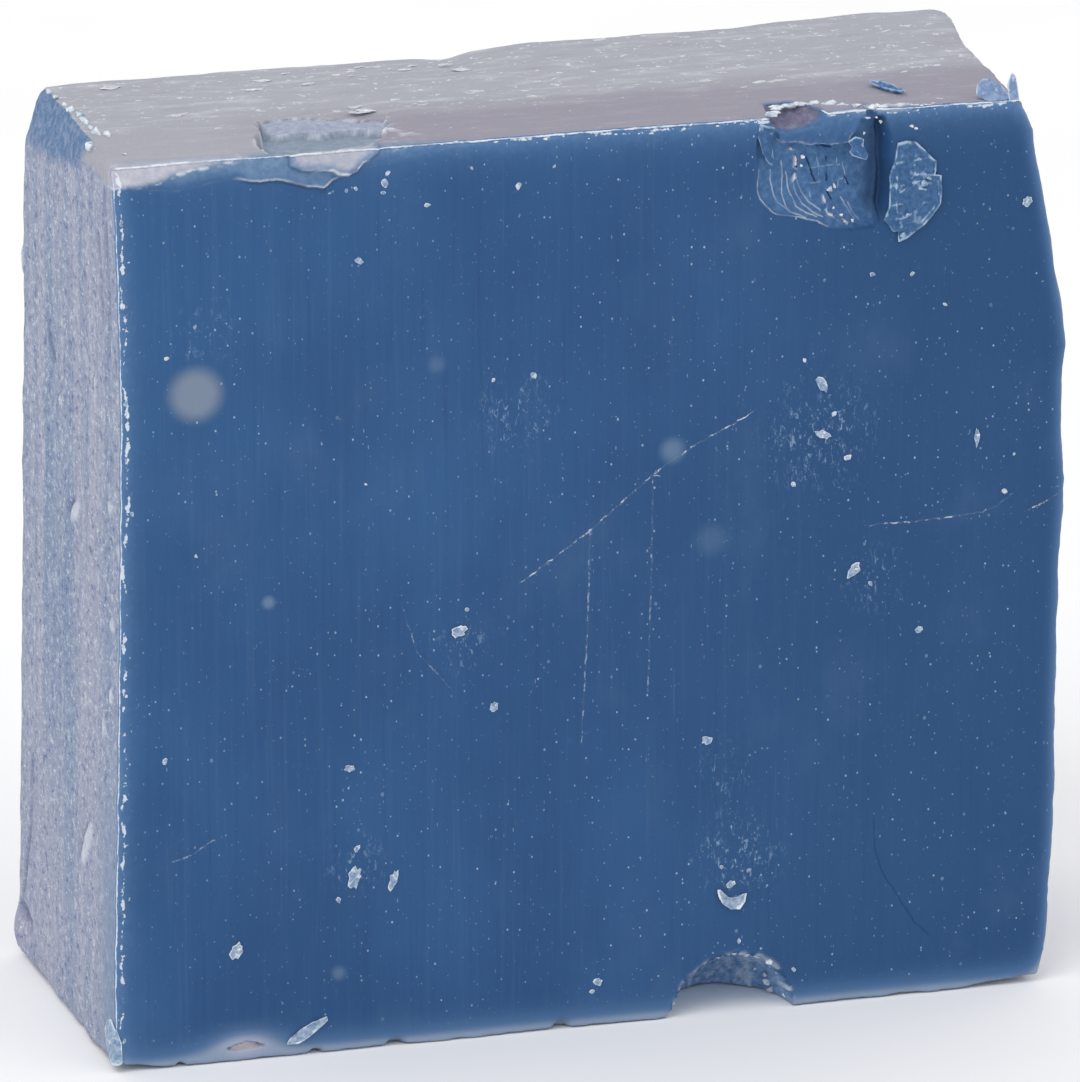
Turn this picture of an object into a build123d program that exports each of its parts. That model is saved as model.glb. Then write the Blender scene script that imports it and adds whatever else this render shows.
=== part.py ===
from build123d import *

import os
from math import cos, pi, sin

# A cut bar of blue waxy clay, standing on its narrow long face.
# Millimetres. X runs along the width, -Y is the broad front face, +Z is up.
# The origin is on the resting face, under the middle of the bar.

# ---- driving dimensions of the bar ----
HEIGHT = 77.3
FRONT_Y = -16.0
BACK_Y_BOTTOM = 16.0
BACK_Y_TOP = 13.0
EDGE_ROUND = 0.5

# where the slightly skewed side faces meet the front and the back
FRONT_LEFT_BOTTOM_X, FRONT_LEFT_TOP_X = -41.1, -40.5
BACK_LEFT_BOTTOM_X, BACK_LEFT_TOP_X = -41.6, -40.8
FRONT_RIGHT_X = {"bottom": 39.7, "low": 40.7, "waist": 41.1, "shoulder": 40.2, "top": 36.9}
BACK_RIGHT_X = {"bottom": 40.2, "low": 40.8, "waist": 41.0, "shoulder": 40.6, "top": 39.2}
LOW_Z, WAIST_Z, SHOULDER_Z = 24.0, 50.0, 62.0
TRIM = 2.0  # the blank runs this far past the flat ends before they are cut

# ---- damage that shapes the bar ----
DISH_CENTRE = (20.2, FRONT_Y - 1.8, 72.0)
DISH_RADII = (6.8, 3.6, 5.3)
LIP_BITE_CENTRE = (19.8, FRONT_Y - 1.2, HEIGHT + 1.2)
LIP_BITE_RADIUS = 3.4
GROOVE_CENTRE = (24.2, FRONT_Y + 0.2)
GROOVE_RADIUS = 1.2
GROOVE_BOTTOM_Z, GROOVE_TOP_Z = 67.4, 76.6
RECESS_OUTLINE = [(-27.6, -11.2), (-24.9, -4.2), (-22.4, 0.2), (-13.6, -2.6), (-14.0, -8.4), (-18.0, -14.6)]
RECESS_DEPTH = 1.4
RECESS_SLOPE_DEG = 4.0
BITE_CENTRE = (12.4, FRONT_Y, -0.1)
BITE_RADII = (5.4, 7.2, 5.1)
SLOT_CENTRE = (-30.4, FRONT_Y, 1.0)
SLOT_SIZE = (3.3, 2.0, 0.7)
SLOT_TURN_DEG = 5.0
# a point on each plane that a corner broke or wore away along, and the direction that the corner pointed
LOST_CORNERS = [
    ((-39.5, 6.0, HEIGHT), (-0.93, 0.16, 0.33)),
    ((-40.3, FRONT_Y + 0.2, HEIGHT - 1.0), (-0.35, -0.82, 0.45)),
    ((38.6, BACK_Y_TOP - 0.6, HEIGHT), (0.5, 0.7, 0.5)),
    ((-41.2, BACK_Y_BOTTOM, 0.9), (-0.45, 0.3, -0.84)),
]

# ---- lumps sealed inside: (x, depth of the centre behind the front face, z, radius) ----
LARGE_LUMP = (-33.8, 2.7, 57.7, 2.3)
SMALL_LUMPS = [
    (6.8, 1.6, 49.6, 1.1),
    (10.2, 2.4, 41.6, 1.2),
    (-27.8, 0.9, 39.5, 0.6),
    (-22.0, 1.0, 6.8, 0.7),
]

# ---- what lies on or sticks to the bar ----
FLAKE_THICKNESS = 0.35
LOBE_THICKNESS = 0.6
LOBE_OUTLINE = [
    (26.5, 74.5),
    (28.7, 73.5),
    (29.7, 71.4),
    (29.7, 68.5),
    (28.0, 66.8),
    (26.2, 65.9),
    (25.9, 68.0),
    (26.0, 71.5),
]
TONGUE_OUTLINE = [(21.0, 77.0), (25.2, 77.0), (24.4, 76.2), (23.2, 75.2), (22.6, 73.8), (21.9, 74.4)]
HANGING_FLAKE_OUTLINE = [(13.9, 75.8), (15.6, 76.0), (15.4, 74.6), (15.3, 72.9), (14.7, 73.2), (14.3, 74.9)]
CORNER_FLAKE_OUTLINE = [(-40.6, 0.8), (-40.5, 4.6), (-39.9, 3.4), (-39.8, 1.0)]
# centre x, centre z, length, width, turn in degrees from the width axis
FRONT_FLAKES = [
    (12.2, 10.1, 3.2, 2.8, 20),
    (-20.6, 15.0, 2.4, 1.4, 75),
    (-17.3, 14.5, 2.2, 0.9, 70),
    (-11.6, 35.6, 1.9, 1.3, 30),
    (22.6, 37.8, 1.9, 1.3, 40),
    (19.7, 54.2, 1.8, 1.1, 110),
    (19.8, 49.9, 1.9, 1.0, -20),
    (33.3, 48.5, 2.0, 0.6, 90),
    (-30.8, 9.6, 2.2, 1.5, 60),
    (-21.0, 24.6, 1.1, 0.8, 0),
    (-8.6, 28.8, 1.2, 0.8, 60),
    (9.9, 24.2, 1.2, 1.0, 15),
    (0.4, 3.8, 1.1, 0.9, 0),
    (28.4, 32.2, 0.9, 0.7, 30),
    (37.4, 68.5, 1.2, 0.8, 45),
    (-20.0, 67.9, 0.9, 0.6, -10),
]
LONG_SHAVING = (-24.7, 1.95, 3.6, 0.9, 36)
# centre x, centre y, length, width, turn, height
BLUE_SHAVING = (27.1, -10.4, 3.7, 0.9, -44, 0.7)
CORNER_CURLS = [(34.6, -12.6, 3.0, 1.3, -60, 0.8), (36.4, -11.4, 2.4, 0.9, -75, 0.9)]
TOP_CRUMBS = [
    (30.4, -14.0, 0.9, 0.5, -30, 0.4),
    (-34.2, 9.6, 2.4, 1.2, 10, 0.4),
    (-31.5, -1.3, 1.8, 0.9, -15, 0.3),
    (-29.2, -6.4, 1.7, 1.0, 20, 0.3),
    (33.6, -3.4, 1.4, 0.9, -20, 0.3),
]
CHIP_EDGE_CRUMB_COUNT = 6
EDGE_CRUMB_COUNT = 14
GOUGE_CRUMBS = [(20.6, -14.3, 70.6, 0.55), (19.7, -14.35, 70.2, 0.35), (21.0, -15.0, 68.9, 0.4)]
SCALLOP_CRUMBS = [(8.6, -13.6, 2.5, 0.55), (9.9, -12.2, 3.0, 0.6), (14.0, -11.9, 3.2, 0.5), (15.4, -13.1, 2.9, 0.45)]


def back_y(z):
    """The back face leans forward as it rises."""
    return BACK_Y_BOTTOM + (BACK_Y_TOP - BACK_Y_BOTTOM) * z / HEIGHT


def side_section(left_bottom, left_top, right, y_at):
    """One broad face of the bar: three straight sides and a right side bowed by two arcs."""
    def point(x, z):
        return (x, y_at(z), z)

    bottom_left = point(left_bottom, -TRIM)
    top_left = point(left_top, HEIGHT + TRIM)
    bottom_right = point(right["bottom"], -TRIM)
    low = point(right["low"], LOW_Z)
    waist = point(right["waist"], WAIST_Z)
    shoulder = point(right["shoulder"], SHOULDER_Z)
    top_right = point(right["top"], HEIGHT + TRIM)
    edges = [
        Line(bottom_left, bottom_right),
        ThreePointArc(bottom_right, low, waist),
        ThreePointArc(waist, shoulder, top_right),
        Line(top_right, top_left),
        Line(top_left, bottom_left),
    ]
    return Face(Wire(edges))


def bar_blank():
    """The block as it was cut, before it was knocked about."""
    front = side_section(FRONT_LEFT_BOTTOM_X, FRONT_LEFT_TOP_X, FRONT_RIGHT_X, lambda z: FRONT_Y)
    back = side_section(BACK_LEFT_BOTTOM_X, BACK_LEFT_TOP_X, BACK_RIGHT_X, back_y)
    blank = Part(Solid.make_loft([front.outer_wire(), back.outer_wire()], ruled=True).wrapped)
    blank = keep_behind(blank, (0, 0, 0), (0, 0, -1))
    blank = keep_behind(blank, (0, 0, HEIGHT), (0, 0, 1))
    return fillet(blank.edges(), EDGE_ROUND)


def ellipsoid(centre, radii):
    """A ball of radius 1 stretched along the three axes."""
    ball = Sphere(1)
    return Pos(*centre) * scale(ball, by=radii)


def keep_behind(part, through, normal):
    """Cut a corner off with a plane; the normal points at what goes."""
    return split(part, bisect_by=Plane(origin=through, z_dir=normal), keep=Keep.BOTTOM)


def knock_corners(part):
    """The broken corner at the top left and the worn ones around the bar."""
    for through, normal in LOST_CORNERS:
        part = keep_behind(part, through, normal)
    return part


def front_gouge():
    """A shell-shaped dish, a bite out of the lip over it and a deep upright groove at its end."""
    dish = ellipsoid(DISH_CENTRE, DISH_RADII)
    lip_bite = Pos(*LIP_BITE_CENTRE) * Sphere(LIP_BITE_RADIUS)
    groove_length = GROOVE_TOP_Z - GROOVE_BOTTOM_Z
    groove_middle = (GROOVE_TOP_Z + GROOVE_BOTTOM_Z) / 2
    groove = Pos(*GROOVE_CENTRE, groove_middle) * Cylinder(GROOVE_RADIUS, groove_length)
    return [dish, lip_bite, groove]


def top_recess():
    """A flake has lifted out of the top face and left a steep back wall."""
    outline = make_face(Polyline(*RECESS_OUTLINE, close=True))
    block = extrude(outline, 6)
    tilt = Rot(-RECESS_SLOPE_DEG, 0, 0)
    hinge = Pos(0, RECESS_OUTLINE[-1][1], HEIGHT)
    deepest = Pos(0, 0, -RECESS_DEPTH + 1.1)
    return hinge * deepest * tilt * Pos(0, -RECESS_OUTLINE[-1][1], 0) * block


def bottom_notches():
    """The round bite and the thin slot in the bottom front edge."""
    bite = ellipsoid(BITE_CENTRE, BITE_RADII)
    slot = Pos(*SLOT_CENTRE) * Rot(0, SLOT_TURN_DEG, 0) * Box(*SLOT_SIZE)
    return [bite, slot]


def lump(x, depth, z, radius):
    """A pale lump sealed behind the front face."""
    return ellipsoid((x, FRONT_Y + depth, z), (radius, 0.8 * radius, radius))


def ragged_outline(length, width, corners=7, phase=0.0):
    """A closed outline of uneven corners round an oval."""
    points = []
    for i in range(corners):
        angle = 2 * pi * i / corners
        reach = 0.86 + 0.14 * sin(2.6 * i + phase)
        points.append((0.5 * length * reach * cos(angle), 0.5 * width * reach * sin(angle)))
    return make_face(Polyline(*points, close=True))


def front_chip(x, z, length, width, turn, thickness=FLAKE_THICKNESS):
    """A thin chip whose back lies on the front face."""
    chip = extrude(ragged_outline(length, width, phase=x), thickness, taper=12)
    return Pos(x, FRONT_Y, z) * Rot(90, 0, 0) * Rot(0, 0, turn) * chip


def top_chip(x, y, length, width, turn, height):
    """A chip or shaving lying on the top face."""
    chip = extrude(ragged_outline(length, width, phase=x), height, taper=15)
    return Pos(x, y, HEIGHT) * Rot(0, 0, turn) * chip


def front_plate(outline, thickness):
    """A plate of a drawn outline whose back lies on the front face."""
    face = make_face(Polyline(*outline, close=True))
    plate = extrude(face, thickness)
    return Pos(0, FRONT_Y, 0) * Rot(90, 0, 0) * plate


def crumb(x, y, z, radius, bar):
    """A squat crumb, trimmed to sit on whatever surface is behind it."""
    grain = Pos(x, y, z) * Rot(20 * x, 35 * z, 0) * Box(1.6 * radius, 1.2 * radius, 1.4 * radius)
    return grain - bar


def chip_edge_crumbs():
    """Crumbs pushed up along the inner edge of the broken corner."""
    crumbs = []
    for i in range(CHIP_EDGE_CRUMB_COUNT):
        y = -4.5 + 2.2 * i
        crumbs.append(top_chip(-38.2 + 0.12 * sin(5 * i), y, 0.9 + 0.3 * sin(3 * i), 0.6, 40 * i, 0.35))
    return crumbs


def edge_crumbs():
    """Crumbs of the burr along the front left vertical edge."""
    crumbs = []
    for i in range(EDGE_CRUMB_COUNT):
        z = 8.0 + 4.6 * i + 1.2 * sin(4 * i)
        size = 0.6 + 0.2 * sin(7 * i)
        crumbs.append(front_chip(-39.9 + 0.1 * sin(3 * i), z, 1.3 * size, 0.8 * size, 60 * i, 0.25))
    return crumbs


def build():
    """Every piece by name. Each value is a list of solids."""
    bar = knock_corners(bar_blank())
    for cutter in front_gouge() + [top_recess()] + bottom_notches():
        bar = bar - cutter
    large = lump(*LARGE_LUMP)
    small = [lump(*values) for values in SMALL_LUMPS]
    for hole in [large] + small:
        bar = bar - hole
    tongue = front_plate(TONGUE_OUTLINE, FLAKE_THICKNESS)
    hanging = front_plate(HANGING_FLAKE_OUTLINE, FLAKE_THICKNESS)
    return {
        "clay_block": [bar],
        "large_pale_inclusion": [large],
        "small_pale_inclusions": small,
        "gouge_shell_lobe": [front_plate(LOBE_OUTLINE, LOBE_THICKNESS)],
        "gouge_torn_tongue": [tongue],
        "gouge_hanging_flake": [hanging],
        "gouge_crumbs": [crumb(*values, bar) for values in GOUGE_CRUMBS],
        "top_blue_shaving": [top_chip(*BLUE_SHAVING)],
        "top_corner_curls": [top_chip(*values) for values in CORNER_CURLS],
        "top_crumbs": [top_chip(*values) for values in TOP_CRUMBS],
        "chip_edge_crumbs": chip_edge_crumbs(),
        "front_long_shaving": [front_chip(*LONG_SHAVING)],
        "front_flakes": [front_chip(*values) for values in FRONT_FLAKES],
        "edge_crumbs": edge_crumbs(),
        "bottom_corner_flake": [front_plate(CORNER_FLAKE_OUTLINE, FLAKE_THICKNESS)],
        "scallop_crumbs": [crumb(*values, bar) for values in SCALLOP_CRUMBS],
    }


os.makedirs("parts", exist_ok=True)
for name, solids in build().items():
    piece = solids[0] if len(solids) == 1 else Compound(children=[Part(s.wrapped) for s in solids])
    piece.label = name
    export_step(piece, f"parts/{name}.step")
    print(name, len(solids), round(sum(s.volume for s in solids), 2))
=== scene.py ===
import math

import bmesh
import bpy
import numpy as np
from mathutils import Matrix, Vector


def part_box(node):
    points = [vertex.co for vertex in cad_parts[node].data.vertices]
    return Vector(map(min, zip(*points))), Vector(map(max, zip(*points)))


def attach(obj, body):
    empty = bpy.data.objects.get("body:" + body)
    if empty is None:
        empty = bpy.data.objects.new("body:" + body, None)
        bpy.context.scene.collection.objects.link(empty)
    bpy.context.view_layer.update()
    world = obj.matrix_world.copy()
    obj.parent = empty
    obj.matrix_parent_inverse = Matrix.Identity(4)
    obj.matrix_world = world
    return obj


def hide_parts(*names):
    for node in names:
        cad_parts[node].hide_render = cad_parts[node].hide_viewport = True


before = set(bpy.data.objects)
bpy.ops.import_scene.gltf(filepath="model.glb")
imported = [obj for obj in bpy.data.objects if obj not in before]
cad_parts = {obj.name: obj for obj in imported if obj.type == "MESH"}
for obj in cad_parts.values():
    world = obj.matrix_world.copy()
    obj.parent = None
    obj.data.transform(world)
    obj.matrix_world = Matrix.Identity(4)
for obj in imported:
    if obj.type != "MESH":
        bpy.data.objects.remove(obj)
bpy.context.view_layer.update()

# Lengths are in millimetres in the frame's own axes, and MM turns them into Blender's metres.
MM = 0.001
BLOCK_LOW, BLOCK_HIGH = (np.array(corner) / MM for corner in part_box("clay_block"))
FRONT = BLOCK_LOW[1]
BACK = BLOCK_HIGH[1]
HEIGHT = BLOCK_HIGH[2]
BACK_LEAN = 3.0

# Outlines of the block's right and left sides, as (height, x).
RIGHT_FRONT = [
    (0, 39.3), (2.5, 40.0), (8, 40.3), (17, 40.65), (24, 40.55), (37, 40.8), (41.5, 41.0), (44.3, 41.15),
    (47.4, 40.8), (53, 40.8), (55.8, 41.15), (59, 40.7), (62.5, 40.05), (66.5, 39.4), (70, 38.7),
    (72.6, 38.15), (74.6, 37.9), (76, 37.3), (77.3, 36.6),
]
RIGHT_BACK = [(0, 40.1), (24, 40.8), (50, 41.0), (62, 40.8), (70, 40.6), (74, 40.5), (77.3, 40.3)]
LEFT_FRONT = [
    (0, -41.1), (6, -41.15), (24, -40.7), (42, -40.3), (58, -40.05), (66, -40.2), (77.3, -40.55),
]
LEFT_BACK = [(0, -41.6), (24, -41.45), (58, -41.0), (72, -40.8), (77.3, -40.7)]

CAMERA_AZIMUTH = -16.54
CAMERA_ELEVATION = 16.95
CAMERA_DISTANCE = 900.0
CAMERA_TARGET = (-0.09, -0.8, 37.93)
LENS_MM = 356.7


# ---------------------------------------------------------------- numbers

def smooth(low, high, value):
    t = np.clip((value - low) / (high - low), 0.0, 1.0)
    return t * t * (3.0 - 2.0 * t)


def bell(value, width):
    return np.exp(-(value / width) ** 2)


def lattice(ix, iy, iz, seed):
    """A fixed random number from 0 to 1 for each whole-numbered point."""
    h = (ix * 374761393 + iy * 668265263 + iz * 2147483647 + seed * 974711) & 0xFFFFFFFF
    h = ((h ^ (h >> 13)) * 1274126177) & 0xFFFFFFFF
    return ((h ^ (h >> 16)) & 0xFFFFFF) / float(0xFFFFFF)


def noise(points, size, seed=0):
    """Smooth noise from -1 to 1 whose lumps are about size across. Size may be three numbers."""
    q = points / np.asarray(size, float)
    cell = np.floor(q).astype(np.int64)
    f = q - cell
    f = f * f * (3.0 - 2.0 * f)
    total = 0.0
    for dx in (0, 1):
        for dy in (0, 1):
            for dz in (0, 1):
                weight = (f[:, 0] if dx else 1 - f[:, 0]) * (f[:, 1] if dy else 1 - f[:, 1])
                weight = weight * (f[:, 2] if dz else 1 - f[:, 2])
                total = total + weight * lattice(cell[:, 0] + dx, cell[:, 1] + dy, cell[:, 2] + dz, seed)
    return 2.0 * total - 1.0


def layered(points, size, seed=0, layers=3):
    total = 0.0
    for i in range(layers):
        total = total + noise(points, np.asarray(size, float) / 2 ** i, seed + 17 * i) / 2 ** i
    return total / 1.6


def along(t, size, seed=0, layers=3):
    """Noise along one line."""
    return layered(np.stack([t, 0 * t, 0 * t], 1), size, seed, layers)


def curve(table, value):
    xs, ys = zip(*table)
    return np.interp(value, xs, ys)


def signed_gap(u, v, lines):
    """Distance to the nearest of some lines, with a sign that tells its two sides apart."""
    best = np.full(len(u), 1e9)
    for line in lines:
        for (ax, ay), (bx, by) in zip(line, line[1:]):
            ex, ey = bx - ax, by - ay
            t = np.clip(((u - ax) * ex + (v - ay) * ey) / (ex * ex + ey * ey), 0, 1)
            gap = np.hypot(u - ax - t * ex, v - ay - t * ey)
            side = np.where(ex * (v - ay) < ey * (u - ax), -1.0, 1.0)
            best = np.where(gap < np.abs(best), side * gap, best)
    return best


def line_gap(u, v, *lines):
    return np.abs(signed_gap(u, v, lines))


def inside_of(u, v, corners):
    """Distance inside a closed outline, negative outside it."""
    inside = np.zeros(len(u), bool)
    for (ax, ay), (bx, by) in zip(corners, corners[1:] + corners[:1]):
        crosses = ((ay > v) != (by > v)) & (u < (bx - ax) * (v - ay) / (by - ay + 1e-12) + ax)
        inside ^= crosses
    gap = line_gap(u, v, corners + corners[:1])
    return np.where(inside, gap, -gap)


# ---------------------------------------------------------------- the block as a grid

COARSE = 0.9


def box_faces():
    """A closed box of quads, about COARSE apart."""
    low = np.array([BLOCK_LOW[0], FRONT, 0.0])
    high = np.array([BLOCK_HIGH[0], BACK, HEIGHT])
    counts = [int(round((high[i] - low[i]) / COARSE)) for i in range(3)]
    numbers = {}
    quads = []
    for axis in range(3):
        a, b = [i for i in range(3) if i != axis]
        for end in (0, counts[axis]):
            flip = (end == 0) != (axis == 1)
            for i in range(counts[a]):
                for j in range(counts[b]):
                    corner = []
                    for di, dj in ((0, 0), (1, 0), (1, 1), (0, 1)):
                        key = [0, 0, 0]
                        key[axis], key[a], key[b] = end, i + di, j + dj
                        corner.append(numbers.setdefault(tuple(key), len(numbers)))
                    quads.append(corner[::-1] if flip else corner)
    places = low + np.array(list(numbers)) * (high - low) / np.array(counts)
    return places, quads


def places_of(bm):
    return np.array([v.co[:] for v in bm.verts])


def split_where(bm, wanted):
    """Halves the mesh spacing wherever wanted(places) is true."""
    bm.verts.index_update()
    chosen = wanted(places_of(bm))
    edges = [e for e in bm.edges if chosen[e.verts[0].index] and chosen[e.verts[1].index]]
    bmesh.ops.subdivide_edges(bm, edges=edges, cuts=1, use_grid_fill=True)


def near_front(p, reach):
    return p[:, 1] < FRONT + reach


def on_front(p):
    return p[:, 1] < FRONT + 0.01


def on_top(p):
    return p[:, 2] > HEIGHT - 0.01


def side_gap(p):
    """How far a point is from the nearest upright side."""
    return np.minimum(p[:, 0] - BLOCK_LOW[0], BLOCK_HIGH[0] - p[:, 0])


def marks_gap(p):
    """How far a point is from the nearest scratch or crack of the front face."""
    return line_gap(p[:, 0], p[:, 2], *FRONT_LINES, *WISPS, *FRONT_CRACKS)


def gouge_area(p, grow=0.0):
    x, _, z = p.T
    here = (x > 13.5 - grow) & (x < 27.8 + grow) & (z > 66.5 - grow)
    return here & near_front(p, 0.01) | here & on_top(p) & near_front(p, 3.5 + grow)


def bite_area(p):
    x, y, z = p.T
    reach = 1.35
    u = (x - BITE_CENTRE[0]) / (BITE_HALF_WIDTH * reach)
    v = z / (BITE_HEIGHT * reach)
    underneath = (z < 0.01) & (np.abs(u) < 1) & (y < -8)
    return near_front(p, 0.01) & (u * u + v * v < 1) | underneath


def recess_area(p):
    return on_top(p) & (inside_of(p[:, 0], p[:, 1], RECESS) > -0.9)


def edge_band(p, wide):
    """The two front edges that carry a burr: the left one and the top one."""
    x, _, z = p.T
    upright = (x - BLOCK_LOW[0] < wide) & near_front(p, wide)
    level = (HEIGHT - z < wide) & near_front(p, wide)
    return upright | level


def first_split(p):
    x, y, z = p.T
    on_left = x < BLOCK_LOW[0] + 0.01
    front_rim = on_front(p) & ((side_gap(p) < 2.2) | (z < 2.8) | (HEIGHT - z < 3.6))
    back_rim = (HEIGHT - z < 2.0) & (y > BACK - 2.5)
    near_rim = near_front(p, 1.8) & ~on_front(p)
    return on_top(p) | on_left | front_rim | back_rim | near_rim | gouge_area(p, 1.0) | bite_area(p)


def second_split(p):
    x, y, z = p.T
    low_rim = near_front(p, 0.9) & (z < 0.9) | near_front(p, 0.9) & (BLOCK_HIGH[0] - x < 0.9)
    smear = on_front(p) & (x < -8) & (HEIGHT - z < 3.4)
    chip = (x < -38) & (y > -6) & (z > 70)
    lines = on_front(p) & (marks_gap(p) < 1.0)
    broken = gouge_area(p, 0.6) | bite_area(p) | recess_area(p) | chip
    return edge_band(p, 1.7) | low_rim | smear | lines | broken


def third_split(p):
    x, _, z = p.T
    lines = on_front(p) & (marks_gap(p) < 0.36)
    slot = on_front(p) & (np.abs(x - SLOT_X) < 2.2) & (z > 0.5) & (z < 1.8)
    strip = on_front(p) & (x < -19.0) & (HEIGHT - z < 3.2)
    return edge_band(p, 0.95) | gouge_area(p) | lines | slot | strip


def fourth_split(p):
    x, _, z = p.T
    slot = (np.abs(x - SLOT_X) < 2.1) & (z > 0.6) & (z < 1.7)
    return on_front(p) & ((x > 13.9) & (x < 24.6) & (z > 66.9) & (z < 76.2) | slot)


def block_grid():
    places, quads = box_faces()
    mesh = bpy.data.meshes.new("grid")
    mesh.from_pydata(places.tolist(), [], quads)
    bm = bmesh.new()
    bm.from_mesh(mesh)
    bpy.data.meshes.remove(mesh)
    bmesh.ops.recalc_face_normals(bm, faces=bm.faces)
    for wanted in (first_split, second_split, third_split, fourth_split):
        split_where(bm, wanted)
    bmesh.ops.triangulate(bm, faces=[f for f in bm.faces if len(f.verts) > 4])
    return bm


# ---------------------------------------------------------------- the block's shape

def skew(places):
    """Turns the straight box into the hand-cut block with its bowed right side."""
    x, y, z = places.T
    depth = (y - FRONT) / (BACK - FRONT)
    across = (x - BLOCK_LOW[0]) / (BLOCK_HIGH[0] - BLOCK_LOW[0])
    left = curve(LEFT_FRONT, z) * (1 - depth) + curve(LEFT_BACK, z) * depth
    bowed = (1 - depth) ** 0.7
    right = curve(RIGHT_FRONT, z) * bowed + curve(RIGHT_BACK, z) * (1 - bowed)
    # the skew fades towards the middle, so that what is drawn on the front face keeps its place
    fade = np.abs(across - 0.5) * 2
    low_shift = (left - BLOCK_LOW[0]) * smooth(0.5, 0.0, across)
    high_shift = (right - BLOCK_HIGH[0]) * smooth(0.5, 1.0, across)
    back = BACK - BACK_LEAN * z / HEIGHT
    return np.stack([x + (low_shift + high_shift) * fade, FRONT + (back - FRONT) * depth, z], 1)


def round_edges(places):
    """Rounds every edge of the box, by an amount that wanders along it."""
    low = np.array([BLOCK_LOW[0], FRONT, 0.0])
    high = np.array([BLOCK_HIGH[0], BACK, HEIGHT])
    middle, half = (low + high) / 2, (high - low) / 2
    p = places - middle
    x, y, z = places.T
    radius = 0.30 + 0.12 * layered(places, 5.0, 3) + 0.55 * smooth(-6, 6, y)
    radius = radius + 0.9 * smooth(-36, -40, x) * smooth(8, 13, y) * smooth(70, 75, z)
    radius = np.clip(radius, 0.12, 2.2)[:, None]
    core = np.clip(p, -(half - radius), half - radius)
    out = p - core
    length = np.linalg.norm(out, axis=1, keepdims=True)
    return middle + core + out / np.maximum(length, 1e-6) * np.minimum(length, radius)


def cut_corner(points, through, normal, rough, size, seed):
    """Presses everything beyond a rough plane back to it."""
    normal = np.asarray(normal, float)
    normal = normal / np.linalg.norm(normal)
    level = (points - np.asarray(through, float)) @ normal + rough * layered(points, size, seed)
    return points - np.maximum(level, 0.0)[:, None] * normal


# The shell-shaped gouge in the front face. Everything here is (x, z).
DISH = [
    (14.3, 75.6), (14.25, 72.4), (14.5, 70.5), (15.0, 69.8), (15.8, 69.2), (17.9, 68.65), (19.5, 68.2),
    (20.8, 67.4), (23.0, 67.1), (25.2, 67.3), (26.2, 72.0), (26.4, 79.0), (16.2, 79.0), (15.9, 76.0),
]
RIPPLES = [
    [(14.4, 73.0), (14.3, 71.6), (14.5, 70.5), (15.0, 69.8), (15.7, 69.2), (17.9, 68.7), (19.6, 68.25),
     (20.7, 67.6)],
    [(15.6, 72.8), (15.7, 71.6), (15.8, 70.7), (16.2, 70.0), (17.1, 69.4)],
    [(16.7, 73.4), (16.8, 72.3), (16.6, 70.7), (16.9, 69.7), (17.3, 69.2), (18.6, 68.6)],
    [(17.1, 72.4), (17.4, 70.6), (17.9, 69.6), (18.7, 69.0), (19.6, 68.6)],
    [(17.9, 71.4), (18.0, 70.5), (18.5, 69.7), (19.4, 68.9), (20.2, 68.5)],
    [(18.1, 71.9), (18.5, 70.7), (19.1, 69.8), (20.1, 69.0)], [(22.2, 69.9), (22.7, 69.0), (23.4, 67.9)],
    [(22.9, 69.4), (23.2, 68.6), (23.8, 67.8)],
]
CRUMBLED = [(20.5, 70.2), (20.5, 69.2), (20.8, 68.7), (21.6, 68.3), (22.6, 67.7)]
TORN = [(17.6, 74.3), (18.1, 74.0), (18.1, 73.5), (17.9, 72.4), (17.9, 71.7)]
NET = [
    [(19.0, 72.5), (20.2, 72.6), (22.4, 72.6)], [(18.4, 71.4), (20.4, 71.3), (22.6, 71.4)],
    [(20.1, 73.8), (20.3, 72.6), (20.2, 71.4)], [(22.1, 73.2), (22.2, 71.6), (22.0, 70.4)],
    [(19.2, 71.3), (19.3, 70.2)], [(22.7, 72.8), (22.9, 71.0)],
]
DISH_CRACKS = [
    [(19.2, 73.4), (19.5, 72.4), (19.9, 71.4)], [(21.1, 73.3), (21.1, 72.3), (21.0, 71.3)],
    [(22.8, 71.6), (23.1, 70.8)], [(21.0, 70.5), (21.3, 69.8)], [(18.3, 73.4), (18.1, 72.8)],
    [(20.2, 74.4), (20.9, 74.35), (21.6, 74.2)],
]
FLAP = [
    (16.3, 75.9), (17.9, 75.8), (19.2, 75.9), (20.4, 76.3), (21.0, 76.9), (22.4, 79.0), (25.6, 79.0),
    (25.2, 76.5), (24.6, 76.4), (24.0, 75.6), (23.4, 75.2), (23.0, 74.6), (22.2, 74.5), (21.0, 74.5),
    (20.1, 74.7), (19.3, 74.6), (18.4, 74.9), (16.9, 75.0), (16.4, 75.3),
]
# the groove, as (height, x): where its left slope starts, its deepest line and where its right slope ends
GROOVE_LEFT = [
    (67.0, 23.6), (69.0, 22.9), (71.0, 22.9), (73.4, 23.3), (74.6, 23.8), (75.6, 24.8), (76.6, 26.0),
]
GROOVE_BED = [
    (67.0, 25.5), (69.0, 25.8), (71.0, 26.2), (72.4, 26.3), (73.4, 26.2), (75.2, 26.4), (76.6, 26.6),
]
GROOVE_RIGHT = [(67.0, 26.4), (69.0, 26.8), (71.1, 27.2), (73.9, 27.5), (75.2, 27.4), (76.6, 27.1)]
GROOVE_TOP, GROOVE_FOOT = 76.6, 67.0
GROOVE_DEEP = 1.75
HOLLOW_RIM = [
    (15.6, 79), (15.7, 76.6), (16.3, 76.05), (17.9, 75.8), (19.2, 75.9), (20.4, 76.3), (21.0, 76.9),
    (21.3, 79),
]
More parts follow.
